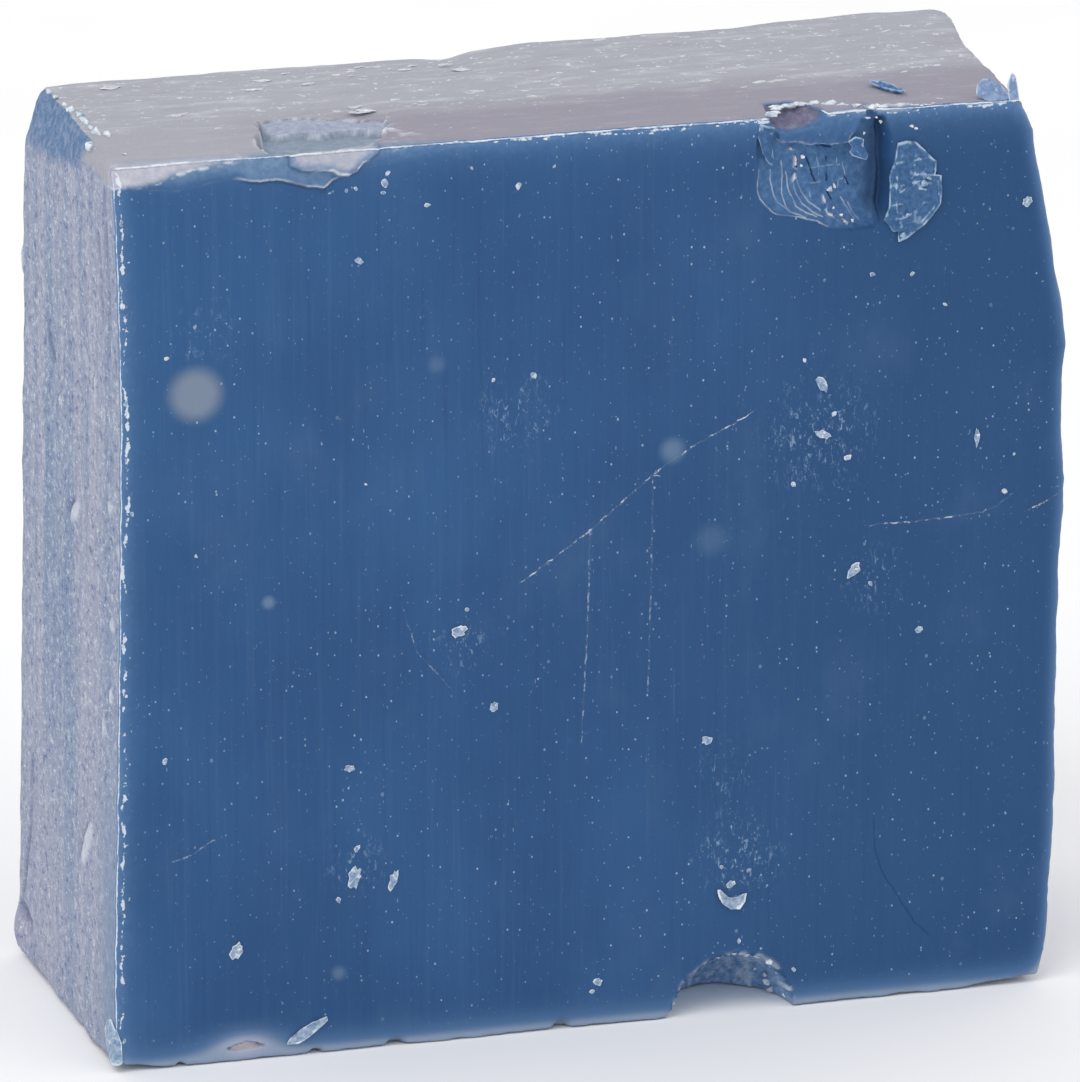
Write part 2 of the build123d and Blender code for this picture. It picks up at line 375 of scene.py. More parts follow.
HOLLOW_FLOOR = [
    (15.0, 76.7), (16.3, 75.95), (17.9, 75.75), (19.2, 75.85), (20.4, 76.25), (21.2, 77.0), (26.0, 76.7),
]
# the strip along the top left that was smeared over the front face
SMEAR = [
    (-42.0, 79), (-40.0, 75.3), (-36.0, 74.9), (-33.0, 75.4), (-31.0, 75.6), (-29.4, 75.3),
    (-27.5, 75.3), (-26.5, 75.1), (-25.5, 74.8), (-24.6, 74.5), (-23.3, 74.35), (-22.4, 74.9),
    (-20.0, 75.6), (-17.0, 76.2), (-13.0, 76.7), (-10.0, 77.0), (-8.0, 79),
]
FOLD = [
    (-26.5, 79), (-26.2, 76.4), (-25.2, 75.9), (-23.7, 75.8), (-22.6, 75.7), (-21.9, 75.3),
    (-21.1, 75.2), (-20.3, 75.5), (-19.8, 76.2), (-18.6, 76.8), (-17.4, 79),
]
# the pale lip that is folded over the front face at its top left corner
LIP = [
    (-43, 75.3), (-40.2, 75.4), (-38.0, 75.6), (-36.0, 76.3), (-33.0, 76.8), (-29.7, 77.2), (-27.5, 79),
    (-43, 79),
]
# the slit near the bottom left, with a thin roof
SLOT = [
    (-32.1, 0.9), (-31.4, 1.35), (-30.3, 1.55), (-29.4, 1.45), (-28.6, 1.05), (-29.4, 0.85),
    (-31.0, 0.75),
]
SLOT_X = -30.3
# scratches and cracks on the front face
FRONT_LINES = [
    [(-5.9, 39.5), (-0.3, 43.3), (5.1, 47.6), (6.2, 48.4), (9.0, 50.0), (13.1, 51.9)],
    [(24.4, 41.7), (28.0, 41.65), (31.7, 41.8), (34.0, 42.0), (35.1, 42.3), (36.2, 43.1)],
    [(38.0, 41.8), (39.5, 42.4), (41.0, 43.3)],
]
WISPS = [
    [(-0.3, 43.3), (-0.5, 35.0), (-1.0, 25.0)], [(5.1, 47.6), (5.0, 38.0), (4.75, 28.6)],
    [(-16.5, 38.0), (-15.2, 34.0), (-12.2, 30.6)], [(-36.6, 17.9), (-35.1, 18.3), (-33.2, 19.4)],
]
FRONT_CRACKS = [[(24.8, 15.8), (25.0, 13.1), (25.6, 11.2), (26.7, 9.5), (28.8, 6.3), (30.1, 5.2)]]
# slits on the left side as (y, z), and pale scrapes as (y, z, half width, half height, lean)
SLITS = [
    [(11.3, 19.0), (11.8, 13.2), (14.1, 6.3)], [(7.4, 58.4), (6.6, 56.9), (5.1, 55.7)],
    [(14.9, 4.9), (11.6, 3.8)], [(-12.6, 74.0), (-13.2, 66.0), (-12.6, 61.0)],
    [(-9.8, 70.0), (-10.6, 63.0)],
]
LENSES = [
    (-2.0, 44.6, 1.2, 1.2, -0.9), (-12.8, 47.8, 0.8, 0.7, 0.0), (-13.7, 38.0, 0.7, 0.7, 0.0),
    (-13.6, 31.8, 0.6, 0.8, 0.0), (-11.7, 28.6, 0.7, 0.9, 0.0), (-6.7, 17.0, 1.1, 2.3, -0.6),
    (15.5, 62.0, 0.8, 1.1, 0.0), (3.2, 53.0, 0.3, 0.5, 0.0), (-8.0, 56.5, 0.3, 1.6, 0.0),
]
# notches in the bottom edge, as (x, half width, height)
NICKS = [(-2.7, 0.8, 0.8), (-17.2, 0.9, 0.6), (7.2, 0.7, 0.7), (-24.2, 0.6, 0.45), (-36.0, 0.5, 0.3)]
BITE_CENTRE = (12.4, -0.1)
BITE_HALF_WIDTH = 5.35
BITE_HEIGHT = 5.1
BITE_DEPTH = 7.2
# the hollow in the top face where a flake lifted out, as (x, y)
RECESS = [
    (-28.0, -11.0), (-26.8, -8.2), (-25.8, -3.6), (-24.6, -2.2), (-22.9, -1.7), (-21.0, -2.2),
    (-19.3, -3.2), (-17.9, -3.8), (-15.4, -4.8), (-14.9, -7.4), (-16.4, -9.6), (-17.3, -12.6),
    (-18.7, -14.9), (-22.0, -15.5), (-26.0, -15.7), (-27.8, -15.4),
]
LEDGE_LINE = [
    (-26.0, -5.2), (-24.6, -6.4), (-22.8, -5.6), (-21.0, -7.4), (-19.6, -6.2), (-17.4, -5.8),
    (-16.0, -7.6),
]
CHIP_THROUGH = np.array([-39.4, 6.0, HEIGHT])
CHIP_NORMAL = np.array([-0.945, 0.043, 0.325])
# broken and worn corners: a point of the cut, the way it faces, and its roughness, lump size and seed
WORN_CORNERS = [
    (CHIP_THROUGH, CHIP_NORMAL, 0.14, 1.6, 91),
    ((-39.2, 12.0, HEIGHT - 0.5), (-0.62, 0.35, 0.70), 0.2, 1.8, 92),
    ((-40.4, FRONT + 0.15, HEIGHT - 1.5), (-0.10, -0.93, 0.36), 0.12, 2.5, 93),
    ((38.9, BACK - BACK_LEAN, HEIGHT + 0.4), (0.6, 0.62, 0.5), 0.3, 1.8, 94),
    ((40.9, 2.0, HEIGHT + 0.1), (0.75, 0.12, 0.65), 0.5, 2.0, 95),
    ((-41.3, BACK, 0.8), (-0.45, 0.3, -0.84), 0.15, 2.0, 96),
    ((-41.0, FRONT + 0.3, 0.7), (-0.65, -0.25, -0.72), 0.1, 1.5, 90),
]


def line_marks(u, v, lines, width):
    return bell(line_gap(u, v, *lines), width)


def gouge(x, z):
    """Depth of the gouge, and how much each spot is whitened, darkened with painted shade, or hollowed."""
    flat = np.stack([x, 0 * x, z], 1)
    wx = x + 0.10 * layered(flat, 0.9, 31)
    wz = z + 0.10 * layered(flat, 0.9, 32)
    inside = inside_of(wx, wz, DISH)
    rim = line_gap(wx, wz, RIPPLES[0])
    bowl = 1.05 * (1 - np.exp(-rim / 2.6)) + 0.25 * smooth(18.0, 23.0, x)
    bowl = bowl * smooth(-0.1, 0.5, inside)
    broken = 0.35 + 0.65 * smooth(-0.3, 0.3, layered(flat, 1.4, 39))
    white = 0.55 * line_marks(wx, wz, RIPPLES, 0.05) * broken
    net = 0.38 * line_marks(wx, wz, NET, 0.045) * smooth(-0.25, 0.35, layered(flat, 1.0, 38))
    crumbled = bell(line_gap(wx, wz, CRUMBLED), 0.15 + 0.08 * layered(flat, 0.6, 37))
    crumbled = crumbled * smooth(-0.3, 0.1, layered(flat, 0.35, 29))
    torn = bell(line_gap(wx, wz, TORN), 0.2) * smooth(-0.2, 0.2, layered(flat, 0.4, 36))
    cracks = line_marks(wx + 0.08 * along(z, 0.5, 28), wz, DISH_CRACKS, 0.05)
    cracks = cracks * smooth(-0.6, 0.0, layered(flat, 1.1, 35))
    grain = layered(flat, 0.55, 34) * smooth(0.6, 2.4, inside)
    depth = bowl + 0.07 * grain - 0.13 * white - 0.08 * net - 0.28 * crumbled - 0.22 * torn + 0.35 * cracks
    # the groove is a V whose bed wanders
    left, bed, right = (curve(table, z) for table in (GROOVE_LEFT, GROOVE_BED, GROOVE_RIGHT))
    down = np.where(wx < bed, (wx - left) / (bed - left), (right - wx) / (right - bed))
    ends = smooth(GROOVE_FOOT, 69.4, z) * smooth(GROOVE_TOP + 0.3, GROOVE_TOP - 0.3, z)
    core = np.clip(down, 0, 1) ** 1.3 * ends
    # the skin that still hangs over the dish
    flap_in = inside_of(wx, wz, FLAP)
    flap = smooth(-0.02, 0.12, flap_in)
    depth = depth * (1 - flap) + flap * (0.12 + 0.05 * layered(flat, 2.0, 33))
    depth = depth * smooth(0.25, -0.1, wx - right) + np.maximum(GROOVE_DEEP - depth, 0) * core * (1 - flap)
    flap_edge = bell(flap_in - 0.05, 0.13) * smooth(75.6, 75.3, z)
    # above the skin the lip is broken back into the top face
    hollow_in = inside_of(wx, wz, HOLLOW_RIM)
    above = np.maximum(wz - curve(HOLLOW_FLOOR, wx), 0) * smooth(-0.3, 0.25, hollow_in)
    depth = depth + 1.75 * above * smooth(15.4, 16.4, x) * smooth(21.4, 20.0, x) + 0.5 * above
    torn_edge = 0.5 * flap_edge * smooth(-0.4, 0.3, layered(flat, 0.7, 30))
    white = np.clip(white + net + 0.8 * crumbled + 0.8 * torn + torn_edge, 0, 1) * (1 - core)
    # painted shade: darker in the groove's bed and along the cracks
    dark = np.clip(np.maximum(0.6 * cracks, 0.8 * smooth(0.0, 1.0, core)) * (1 - flap), 0, 1)
    hollow = smooth(0.02, 0.25, above) * smooth(15.8, 16.3, x) * smooth(21.6, 20.6, x)
    dished = smooth(0.0, 0.3, inside) * (1 - 0.6 * flap)
    return depth, white, dark, hollow, dished


def smeared(x, z):
    """Height of the smeared strip over the front face, its pale crest, and the painted shadow under its
    edges.
    """
    flat = np.stack([x, 0 * x, z], 1)
    wx, wz = x + 0.18 * layered(flat, 1.4, 41), z + 0.10 * layered(flat, 0.8, 42)
    low = inside_of(wx, wz, SMEAR)
    fold = inside_of(wx, wz, FOLD)
    strength = smooth(-31.5, -29.5, x) * smooth(-21.3, -23.4, x)
    height = smooth(-0.05, 0.06, low) * (0.02 + 0.30 * strength) * np.exp(-np.maximum(low, 0) / 1.6)
    height = height + smooth(-0.05, 0.06, fold) * 0.3 * np.exp(-np.maximum(fold, 0) / 1.2)
    ragged = smooth(-0.5, 0.3, layered(flat, 0.9, 43))
    crest = bell(low - 0.05, 0.09) * (0.05 + 0.8 * strength) * (0.3 + 0.6 * ragged)
    grainy = smooth(-0.1, 0.25, layered(flat, (0.7, 1.0, 0.35), 44))
    fold_low = bell(fold - 0.06, 0.12 + 0.08 * along(x, 0.8, 45))
    fold_low = fold_low * smooth(-25.6, -24.6, x) * smooth(-18.6, -20.0, x)
    crest = np.maximum(crest, fold_low * (0.25 + 0.75 * grainy))
    crest = np.maximum(crest, 0.7 * bell(inside_of(wx, wz, LIP) - 0.04, 0.16) * grainy)
    # painted shadow under the smear's raised edge and under the fold's edge
    under = bell(low + 0.13, 0.12) * strength + 0.6 * bell(fold + 0.12, 0.1)
    pale = smooth(-0.05, 0.3 + 1.1 * (1 - strength), low)
    return height, np.clip(crest, 0, 1), np.clip(under, 0, 1), np.clip(pale, 0, 1), fold


def bite(x, z):
    """The round bite out of the bottom front edge, as a depth from the front face."""
    flat = np.stack([x, 0 * x, z], 1)
    wander = 1.0 + 0.05 * layered(flat, 2.2, 51)
    u = (x - BITE_CENTRE[0]) / (BITE_HALF_WIDTH * wander)
    v = (z - BITE_CENTRE[1]) / (BITE_HEIGHT * wander)
    inside = np.clip(1.0 - u * u - v * v, 0, 1)
    rough = 0.30 * layered(flat, 1.2, 52) + 0.10 * layered(flat, 0.45, 53)
    depth = BITE_DEPTH * np.sqrt(inside) * (1 + 0.06 * layered(flat, 3.0, 54))
    depth = depth + rough * smooth(0.02, 0.25, inside)
    reach = np.sqrt(np.clip(u * u + v * v, 0, 4))
    arcs = layered(np.stack([13.0 * reach, 2.4 * np.arctan2(v, u), 0 * x], 1), 1.0, 55)
    streaks = smooth(0.12, 0.45, arcs) * smooth(0.02, 0.15, inside)
    return depth, bell(reach - 1.0, 0.045), streaks


def nicks(x, z):
    """Small notches in the bottom edge, as a depth from the front face."""
    depth = 0.55 * smooth(0.0, 0.12, inside_of(x, z, SLOT))
    for at, wide, high in NICKS:
        depth = np.maximum(depth, 0.8 * smooth(1.1, 0.5, np.hypot((x - at) / wide, z / high)))
    return depth


def recess(x, y):
    """The hollow in the top face: depth, broken wall, pale crest."""
    flat = np.stack([x, y, 0 * x], 1)
    wx, wy = x + 0.22 * layered(flat, 1.8, 61), y + 0.3 * layered(flat, 1.8, 62)
    inside = inside_of(wx, wy, RECESS)
    behind = wy - curve(LEDGE_LINE, wx)
    ledge = smooth(-0.15, 0.15, behind) * (x > -25.4)
    depth = 1.35 * smooth(-15.9, -13.6, y) + 0.05 * layered(flat, (3.0, 1.0, 1.0), 63)
    depth = np.maximum(depth, 0.12) - 0.55 * ledge - 0.28 * ledge * smooth(0.5, 2.5, behind)
    depth = depth * smooth(-0.04, 0.16, inside)
    # the skin behind the hollow sags towards it
    sag = bell(np.minimum(inside, 0), 1.5) * smooth(-7.0, -4.5, y + 0.3 * (x + 20))
    sag = sag * smooth(-27, -24, x) * smooth(-13.0, -15.5, x)
    depth = depth + 0.45 * sag * (inside < 0.1)
    ragged = smooth(-0.2, 0.5, layered(flat, 0.6, 64))
    crest = 0.7 * ragged * (bell(inside - 0.02, 0.25) + bell(behind - 0.1, 0.22) * (inside > 0.2))
    right_end = bell(np.hypot((x + 16.2) / 1.5, (y + 11.6) / 2.4), 1.0)
    right_end = right_end * smooth(-0.1, 0.4, layered(flat, 0.7, 65))
    depth = depth - 0.35 * right_end
    ledge = ledge * smooth(0.05, 0.3, inside)
    return depth, ledge, np.clip(crest + right_end, 0, 1), smooth(0.0, 0.2, inside)


def falloff(distance, reach):
    return np.clip(1.0 - distance / reach, 0.0, 1.0)


def burr(places):
    """The ragged crest along the front edges: how far it stands out and how white it is, and its band."""
    x, y, z = places.T
    gap_left, gap_top, gap_front = x - BLOCK_LOW[0], HEIGHT - z, y - FRONT
    on_edge = (gap_left < 2.5) & (gap_front < 2.0)
    on_lip = (gap_top < 2.2) & (gap_front < 2.0)
    # upright edge: a wavy crest on the corner, then ragged grains on the front face
    line = bell(gap_left - gap_front - 0.05, 0.11)
    grains = smooth(0.10, 0.34, layered(places, (0.55, 0.55, 0.8), 73) + 0.12 * along(z, 2.5, 68))
    grains = grains * smooth(0.18, 0.32, gap_left) * smooth(1.1, 0.8, gap_left) * (gap_front < 0.02)
    upright = np.where(on_edge, np.maximum(line, grains), 0.0)
    # level edge along the top, thicker beside the gouge
    swell = 1.0 + 1.3 * bell(x - 25.6, 3.4)
    wave = 0.20 * along(x, 3.6, 74) + 0.08 * along(x, 0.9, 66)
    uneven = 0.65 + 0.35 * smooth(-0.4, 0.1, along(x, 1.5, 65))
    torn_away = smooth(15.0, 15.6, x) * smooth(22.0, 21.2, x)
    crest = bell(gap_top - gap_front - wave, 0.12 * swell) * uneven * (1 - torn_away)
    level = np.where(on_lip, crest, 0.0)
    rough = 0.6 + 0.6 * np.abs(layered(places, 0.5, 77))
    band = 0.8 * np.exp(-gap_left / 0.8) * (gap_front < 0.4)
    band = np.maximum(band, np.exp(-gap_top / 1.0) * (gap_front < 0.4))
    return (0.10 * upright + 0.13 * swell * level) * rough, 0.6 * level * smooth(1.1, 1.6, swell), band


def scraped_marks(y, z):
    """Slits, pale lens-shaped scrapes and the lenses' painted shadows on the left side: how dark and how
    pale each spot is.
    """
    dark = np.zeros(len(y))
    pale = np.zeros(len(y))
    for line in SLITS:
        # the slits are far narrower across than along
        dark = np.maximum(dark, bell(line_gap(2.0 * y, z, [(2.0 * a, b) for a, b in line]), 0.42))
    for at_y, at_z, wide, high, lean in LENSES:
        u = (y - at_y - lean * (z - at_z)) / wide
        v = (z - at_z) / high
        pale = np.maximum(pale, smooth(1.1, 0.7, np.hypot(u, v)))
        # a dark crescent on the back side of each lens: painted shadow of the raised lens
        dark = np.maximum(dark, 0.7 * bell(u - 1.3, 0.35) * smooth(1.1, 0.6, np.abs(v)))
    return dark, pale


def top_rise(x, y):
    """How the top's back edge stands up to the right and sinks to the left."""
    rise = (0.42 * smooth(-5.5, 3.0, x) + 0.35 * smooth(16.0, 36.0, x)) * smooth(5.0, 12.0, y)
    sink = 0.2 * smooth(5.0, 13.5, y) * smooth(-1.0, -5.0, x)
    dip = 0.25 * bell(x + 4.8, 2.0) * smooth(8.0, 13.0, y)
    return rise - (sink + dip)


def edge_gaps(places):
    """How far each point of the straight box is from its front, its top and its left side."""
    x, y, z = places.T
    return y - FRONT, HEIGHT - z, x - BLOCK_LOW[0]


def roughen_sides(points, places, slit, lens):
    """The scraped left side has upright strokes; the top has long level ones and an uneven back edge."""
    x, y, z = places.T
    gap_front, gap_top, gap_left = edge_gaps(places)
    left = falloff(gap_left, 0.8) * smooth(0.0, 1.0, gap_front)
    strokes = 0.05 * layered(places, (1.0, 0.6, 3.0), 81) + 0.15 * layered(places, (3, 3.0, 26.0), 82)
    points[:, 0] += left * (strokes + 0.4 * slit - 0.15 * lens)
    # a nub at the foot of the back left corner
    points[:, 0] -= 0.65 * bell(BACK - y, 1.6) * bell(z - 2.6, 1.7) * falloff(gap_left, 3.0)
    top = falloff(gap_top, 0.8) * smooth(0.2, 1.6, gap_front)
    waves = 0.06 * layered(places, (5.0, 1.0, 3.0), 83) + 0.12 * layered(places, (16.0, 5.0, 3.0), 84)
    points[:, 2] += top * (waves + top_rise(x, y))
    back_edge = falloff(gap_top, 2.0) * falloff(BACK - y, 2.5)
    points[:, 1] += back_edge * (0.35 * layered(places, 3.0, 85) - 0.3)


def wander(places, out):
    """Every face wanders a little, and the edges more; out is what the burr adds."""
    x, y, z = places.T
    gap_front, gap_top, gap_left = edge_gaps(places)
    across = np.minimum(gap_left, BLOCK_HIGH[0] - x)
    gaps = [across, np.minimum(gap_front, BACK - y), np.minimum(gap_top, z)]
    edge = np.sort(np.stack(gaps, 1), axis=1)[:, 1]
    wobble = 0.05 * layered(places, 9.0, 86) + 0.11 * falloff(edge, 1.5) * layered(places, 2.6, 87)
    wobble = wobble + 0.05 * falloff(edge, 0.6) * layered(places, 0.8, 88)
    middle = np.array([0.0, 0.0, HEIGHT / 2])
    half = np.array([BLOCK_HIGH[0], BACK, HEIGHT / 2])
    toward = (places - middle) / half
    toward = np.sign(toward) * smooth(0.955, 0.99, np.abs(toward))
    return (wobble + out)[:, None] * toward


def block_marks(places, scraped, burrs, dish, strip, bitten, hollowed):
    """What the material reads at each point: how white it is, how dark with painted shade, how torn, and
    which line is near.
    """
    x, _, z = places.T
    gap_front, gap_top, gap_left = edge_gaps(places)
    slit, lens = scraped
    _, white, band = burrs
    _, ridge, dark, hollow, dished = dish
    _, strip_crest, strip_shadow, strip_pale, strip_fold = strip
    bite_depth, bite_rim, bite_streaks = bitten
    _, ledge, top_crest, sunk_here = hollowed
    front_only = falloff(gap_front, 2.0)
    top_only = falloff(gap_top, 2.0) * (gap_front > 0.3)
    on_left = falloff(gap_left, 0.5) * (gap_front > 0.3)
    lip = smooth(-0.15, 0.5, inside_of(x + 0.15 * along(x, 1.5, 60), z + 0.1 * along(x, 1.2, 59), LIP))
    lilac = np.maximum(lip, 0.9 * smooth(0.0, 0.9, strip_fold))
    dotted = smooth(-0.15, 0.25, layered(places, 0.7, 97))
    scratch_gap = signed_gap(x, z, FRONT_LINES + WISPS)
    strong = line_gap(x, z, *FRONT_LINES) < line_gap(x, z, *WISPS)
    crack_gap = signed_gap(x, z, FRONT_CRACKS)
    slot = inside_of(x, z, SLOT)
    # painted shadow under the slot's roof
    roof_shadow = bell(slot - 0.05, 0.07) * smooth(1.0, 1.15, z)
    whites = [white * (1 - hollow), ridge * front_only, strip_crest * front_only, top_crest * top_only,
              0.5 * lens * on_left, 0.7 * bite_rim * front_only * dotted,
              0.4 * bite_streaks * falloff(gap_front, 12.0)]
    return {
        "white": np.clip(np.maximum.reduce(whites), 0, 1),
        "band": np.clip(band, 0, 1),
        "smear": np.clip(strip_pale * front_only * (0.45 + 0.55 * np.exp(-gap_top / 1.2)), 0, 1),
        # painted shade: the gouge's groove and cracks, and the shadows under the smear and under the slot's
        # roof
        "dark": np.clip(np.maximum.reduce([dark, 0.7 * strip_shadow, roof_shadow]) * front_only, 0, 1),
        "slit": slit * on_left,
        "from_left": np.clip(gap_left, 0, 3) - np.clip(gap_front, 0, 3),
        "from_top": np.clip(gap_top, 0, 3) - np.clip(gap_front, 0, 3),
        "left_edge": ((gap_left < 0.3) | (gap_front < 0.3)) & (gap_top > 0.4) & (z > 0.4),
        "top_edge": ((gap_top < 0.3) | (gap_front < 0.3)) & (hollow < 0.2) & (gap_left > 0.4),
        "scratch": np.where(strong, 0.75, 0.35) * smooth(0.5, 0.3, np.abs(scratch_gap)) * front_only,
        "scratch_gap": np.clip(scratch_gap, -1, 1),
        "crack": smooth(0.5, 0.3, np.abs(crack_gap)) * front_only,
        "crack_gap": np.clip(crack_gap, -1, 1),
        "lilac": np.clip(lilac * front_only, 0, 1),
        # the hollow over the gouge: its mauve skin, darkened with painted shade
        "mauve": hollow * (gap_front < 0.05),
        # painted light: the slot's opening is painted pale, with a painted glow round it
        "slot": smooth(0.0, 0.08, slot) * front_only,
        "glow": np.exp(-np.hypot((x - SLOT_X) / 2.0, (z - 1.2) / 0.9) ** 2) * front_only,
        "dished": dished * front_only,
        "bitten": smooth(0.3, 1.2, bite_depth) * falloff(gap_front, 12.0),
        "sunk": sunk_here * top_only,
        "ledge": ledge * top_only,
    }


def shape_block(places):
    """Where each point of the straight box ends up, and the marks that the material reads."""
    x, y, z = places.T
    gap_front, gap_top, _ = edge_gaps(places)
    # the first of each but the scrapes is how far it moves the surface
    found = [scraped_marks(y, z), burr(places), gouge(x, z), smeared(x, z), bite(x, z), recess(x, y)]
    scraped, (out, *_), (dished, *_), (raised, *_), (bitten, *_), (sunk, *_) = found
    points = skew(round_edges(places))
    roughen_sides(points, places, *scraped)
    points = points + wander(places, out)
    front = falloff(gap_front, 8.0)
    points[:, 1] += dished * front
    points[:, 1] -= raised * falloff(gap_front, 2.0)
    points[:, 1] += 0.07 * bell(marks_gap(places), 0.08) * front
    points[:, 1] += nicks(x, z) * front + bitten * falloff(gap_front, 18.0)
    points[:, 2] -= sunk * falloff(gap_top, 6.0)
    for corner in WORN_CORNERS:
        points = cut_corner(points, *corner)
    # the two front bottom corners are worn up a little
    worn_up = 0.6 * smooth(33.0, 40.5, x) + 0.5 * smooth(-36.0, -41.5, x)
    points[:, 2] += worn_up * falloff(z, 5.0) * falloff(gap_front, 20)
    points[:, 2] = np.maximum(points[:, 2], 0.0)
    return points, block_marks(places, *found)


def surface_marks(points, normals, places):
    """Marks that depend on which way the finished surface faces."""
    x, y, z = points.T
    facing_front = smooth(0.35, 0.8, -normals[:, 1]) + on_front(places)
    facing_front = np.clip(facing_front, 0, 1) * (places[:, 2] < HEIGHT - 0.2)
    facing_back = smooth(0.5, 0.85, normals[:, 1])
    chip = smooth(0.85, 0.96, normals @ CHIP_NORMAL)
    chip = chip * smooth(-0.5, -0.1, (points - CHIP_THROUGH) @ CHIP_NORMAL)
    chip = chip * smooth(-6.5, -4.0, y + 0.8 * (z - 75)) * smooth(70.6, 74.2, z)
    left_gap = x - curve(LEFT_FRONT, z)
    right_gap = curve(RIGHT_FRONT, z) - x
    slot_gap = np.hypot((x - SLOT_X) / 2.6, (z - 1.0) / 1.1) - 0.6
    # painted glow where the clay is thin: each edge or slot is painted paler by amount, over about reach
    thin = 0.0
    for gap, amount, reach in ((left_gap, 0.6, 0.9), (right_gap, 0.85, 0.55), (z, 1.25, 1.1),
                               (HEIGHT - z, 0.5, 0.7), (slot_gap, 0.7, 0.7)):
        thin = thin + amount * np.exp(-np.maximum(gap, 0) / reach)
    return {
        "bloom": 1.0 - np.maximum(facing_front, 0.92 * facing_back),
        "chip": np.clip(chip, 0, 1),
        "thin": np.clip(thin, 0, 1) * facing_front,
    }


def build_block(material):
    bm = block_grid()
    places = places_of(bm)
    points, marks = shape_block(places)
    for vertex, point in zip(bm.verts, (points * MM).tolist()):
        vertex.co = point
    bm.normal_update()
    normals = np.array([v.normal[:] for v in bm.verts])
    marks.update(surface_marks(points, normals, places))
    mesh = bpy.data.meshes.new("clay_bar_body")
    bm.to_mesh(mesh)
    bm.free()
    finish_piece("clay_bar_body", mesh, material, ["clay_block"], marks)


def add_object(name, data):
    thing = bpy.data.objects.new(name, data)
    bpy.context.scene.collection.objects.link(thing)
    return thing


def aim(thing, way):
    thing.rotation_euler = way.to_track_quat("-Z", "Y").to_euler()


def finish_piece(name, mesh, material, replaced, marks):
    for key, values in marks.items():
        layer = mesh.attributes.new(key, "FLOAT", "POINT")
        layer.data.foreach_set("value", np.asarray(values, np.float32))
    mesh.shade_smooth()
    mesh.materials.append(material)
    piece = add_object(name, mesh)
    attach(piece, "root")
    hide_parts(*replaced)


# ---------------------------------------------------------------- flakes, shavings and crumbs

class Pile:
    """Closed shapes that end up in one mesh, each with a rim mark from 0 inside to 1 at its edge."""

    def __init__(self):
        self.vertices, self.faces, self.rim = [], [], []

    def add(self, vertices, faces, rim):
        first = len(self.vertices)
        self.vertices += [tuple(v) for v in vertices]
        self.faces += [[first + i for i in face] for face in faces]
        self.rim += list(rim)

    def piece(self, name, material, slot, *replaced):
        mesh = bpy.data.meshes.new(name)
        mesh.from_pydata((np.array(self.vertices) * MM).tolist(), [], self.faces)
        bm = bmesh.new()
        bm.from_mesh(mesh)
        bmesh.ops.recalc_face_normals(bm, faces=bm.faces)
        bm.to_mesh(mesh)
        bm.free()
        finish_piece(name, mesh, material, replaced, {"rim": self.rim})


def resample(corners, count):
    points = np.array(corners + corners[:1], float)
    steps = np.concatenate([[0], np.cumsum(np.linalg.norm(np.diff(points, axis=0), axis=1))])
    t = np.linspace(0, steps[-1], count, endpoint=False)
    return np.stack([np.interp(t, steps, points[:, 0]), np.interp(t, steps, points[:, 1])], 1)


def oval(length, width, turn, seed, corners=15, ragged=0.42):
    """A ragged oval outline round the origin, as (u, v)."""
    chance = np.random.default_rng(seed)
    turn = math.radians(turn)
    outline = []
    for i in range(corners):
        angle = 2 * math.pi * (i + chance.uniform(-0.3, 0.3)) / corners
        reach = 1.0 - ragged * chance.random()
        u, v = 0.5 * length * reach * math.cos(angle), 0.5 * width * reach * math.sin(angle)
        outline.append((u * math.cos(turn) - v * math.sin(turn), u * math.sin(turn) + v * math.cos(turn)))
    return outline


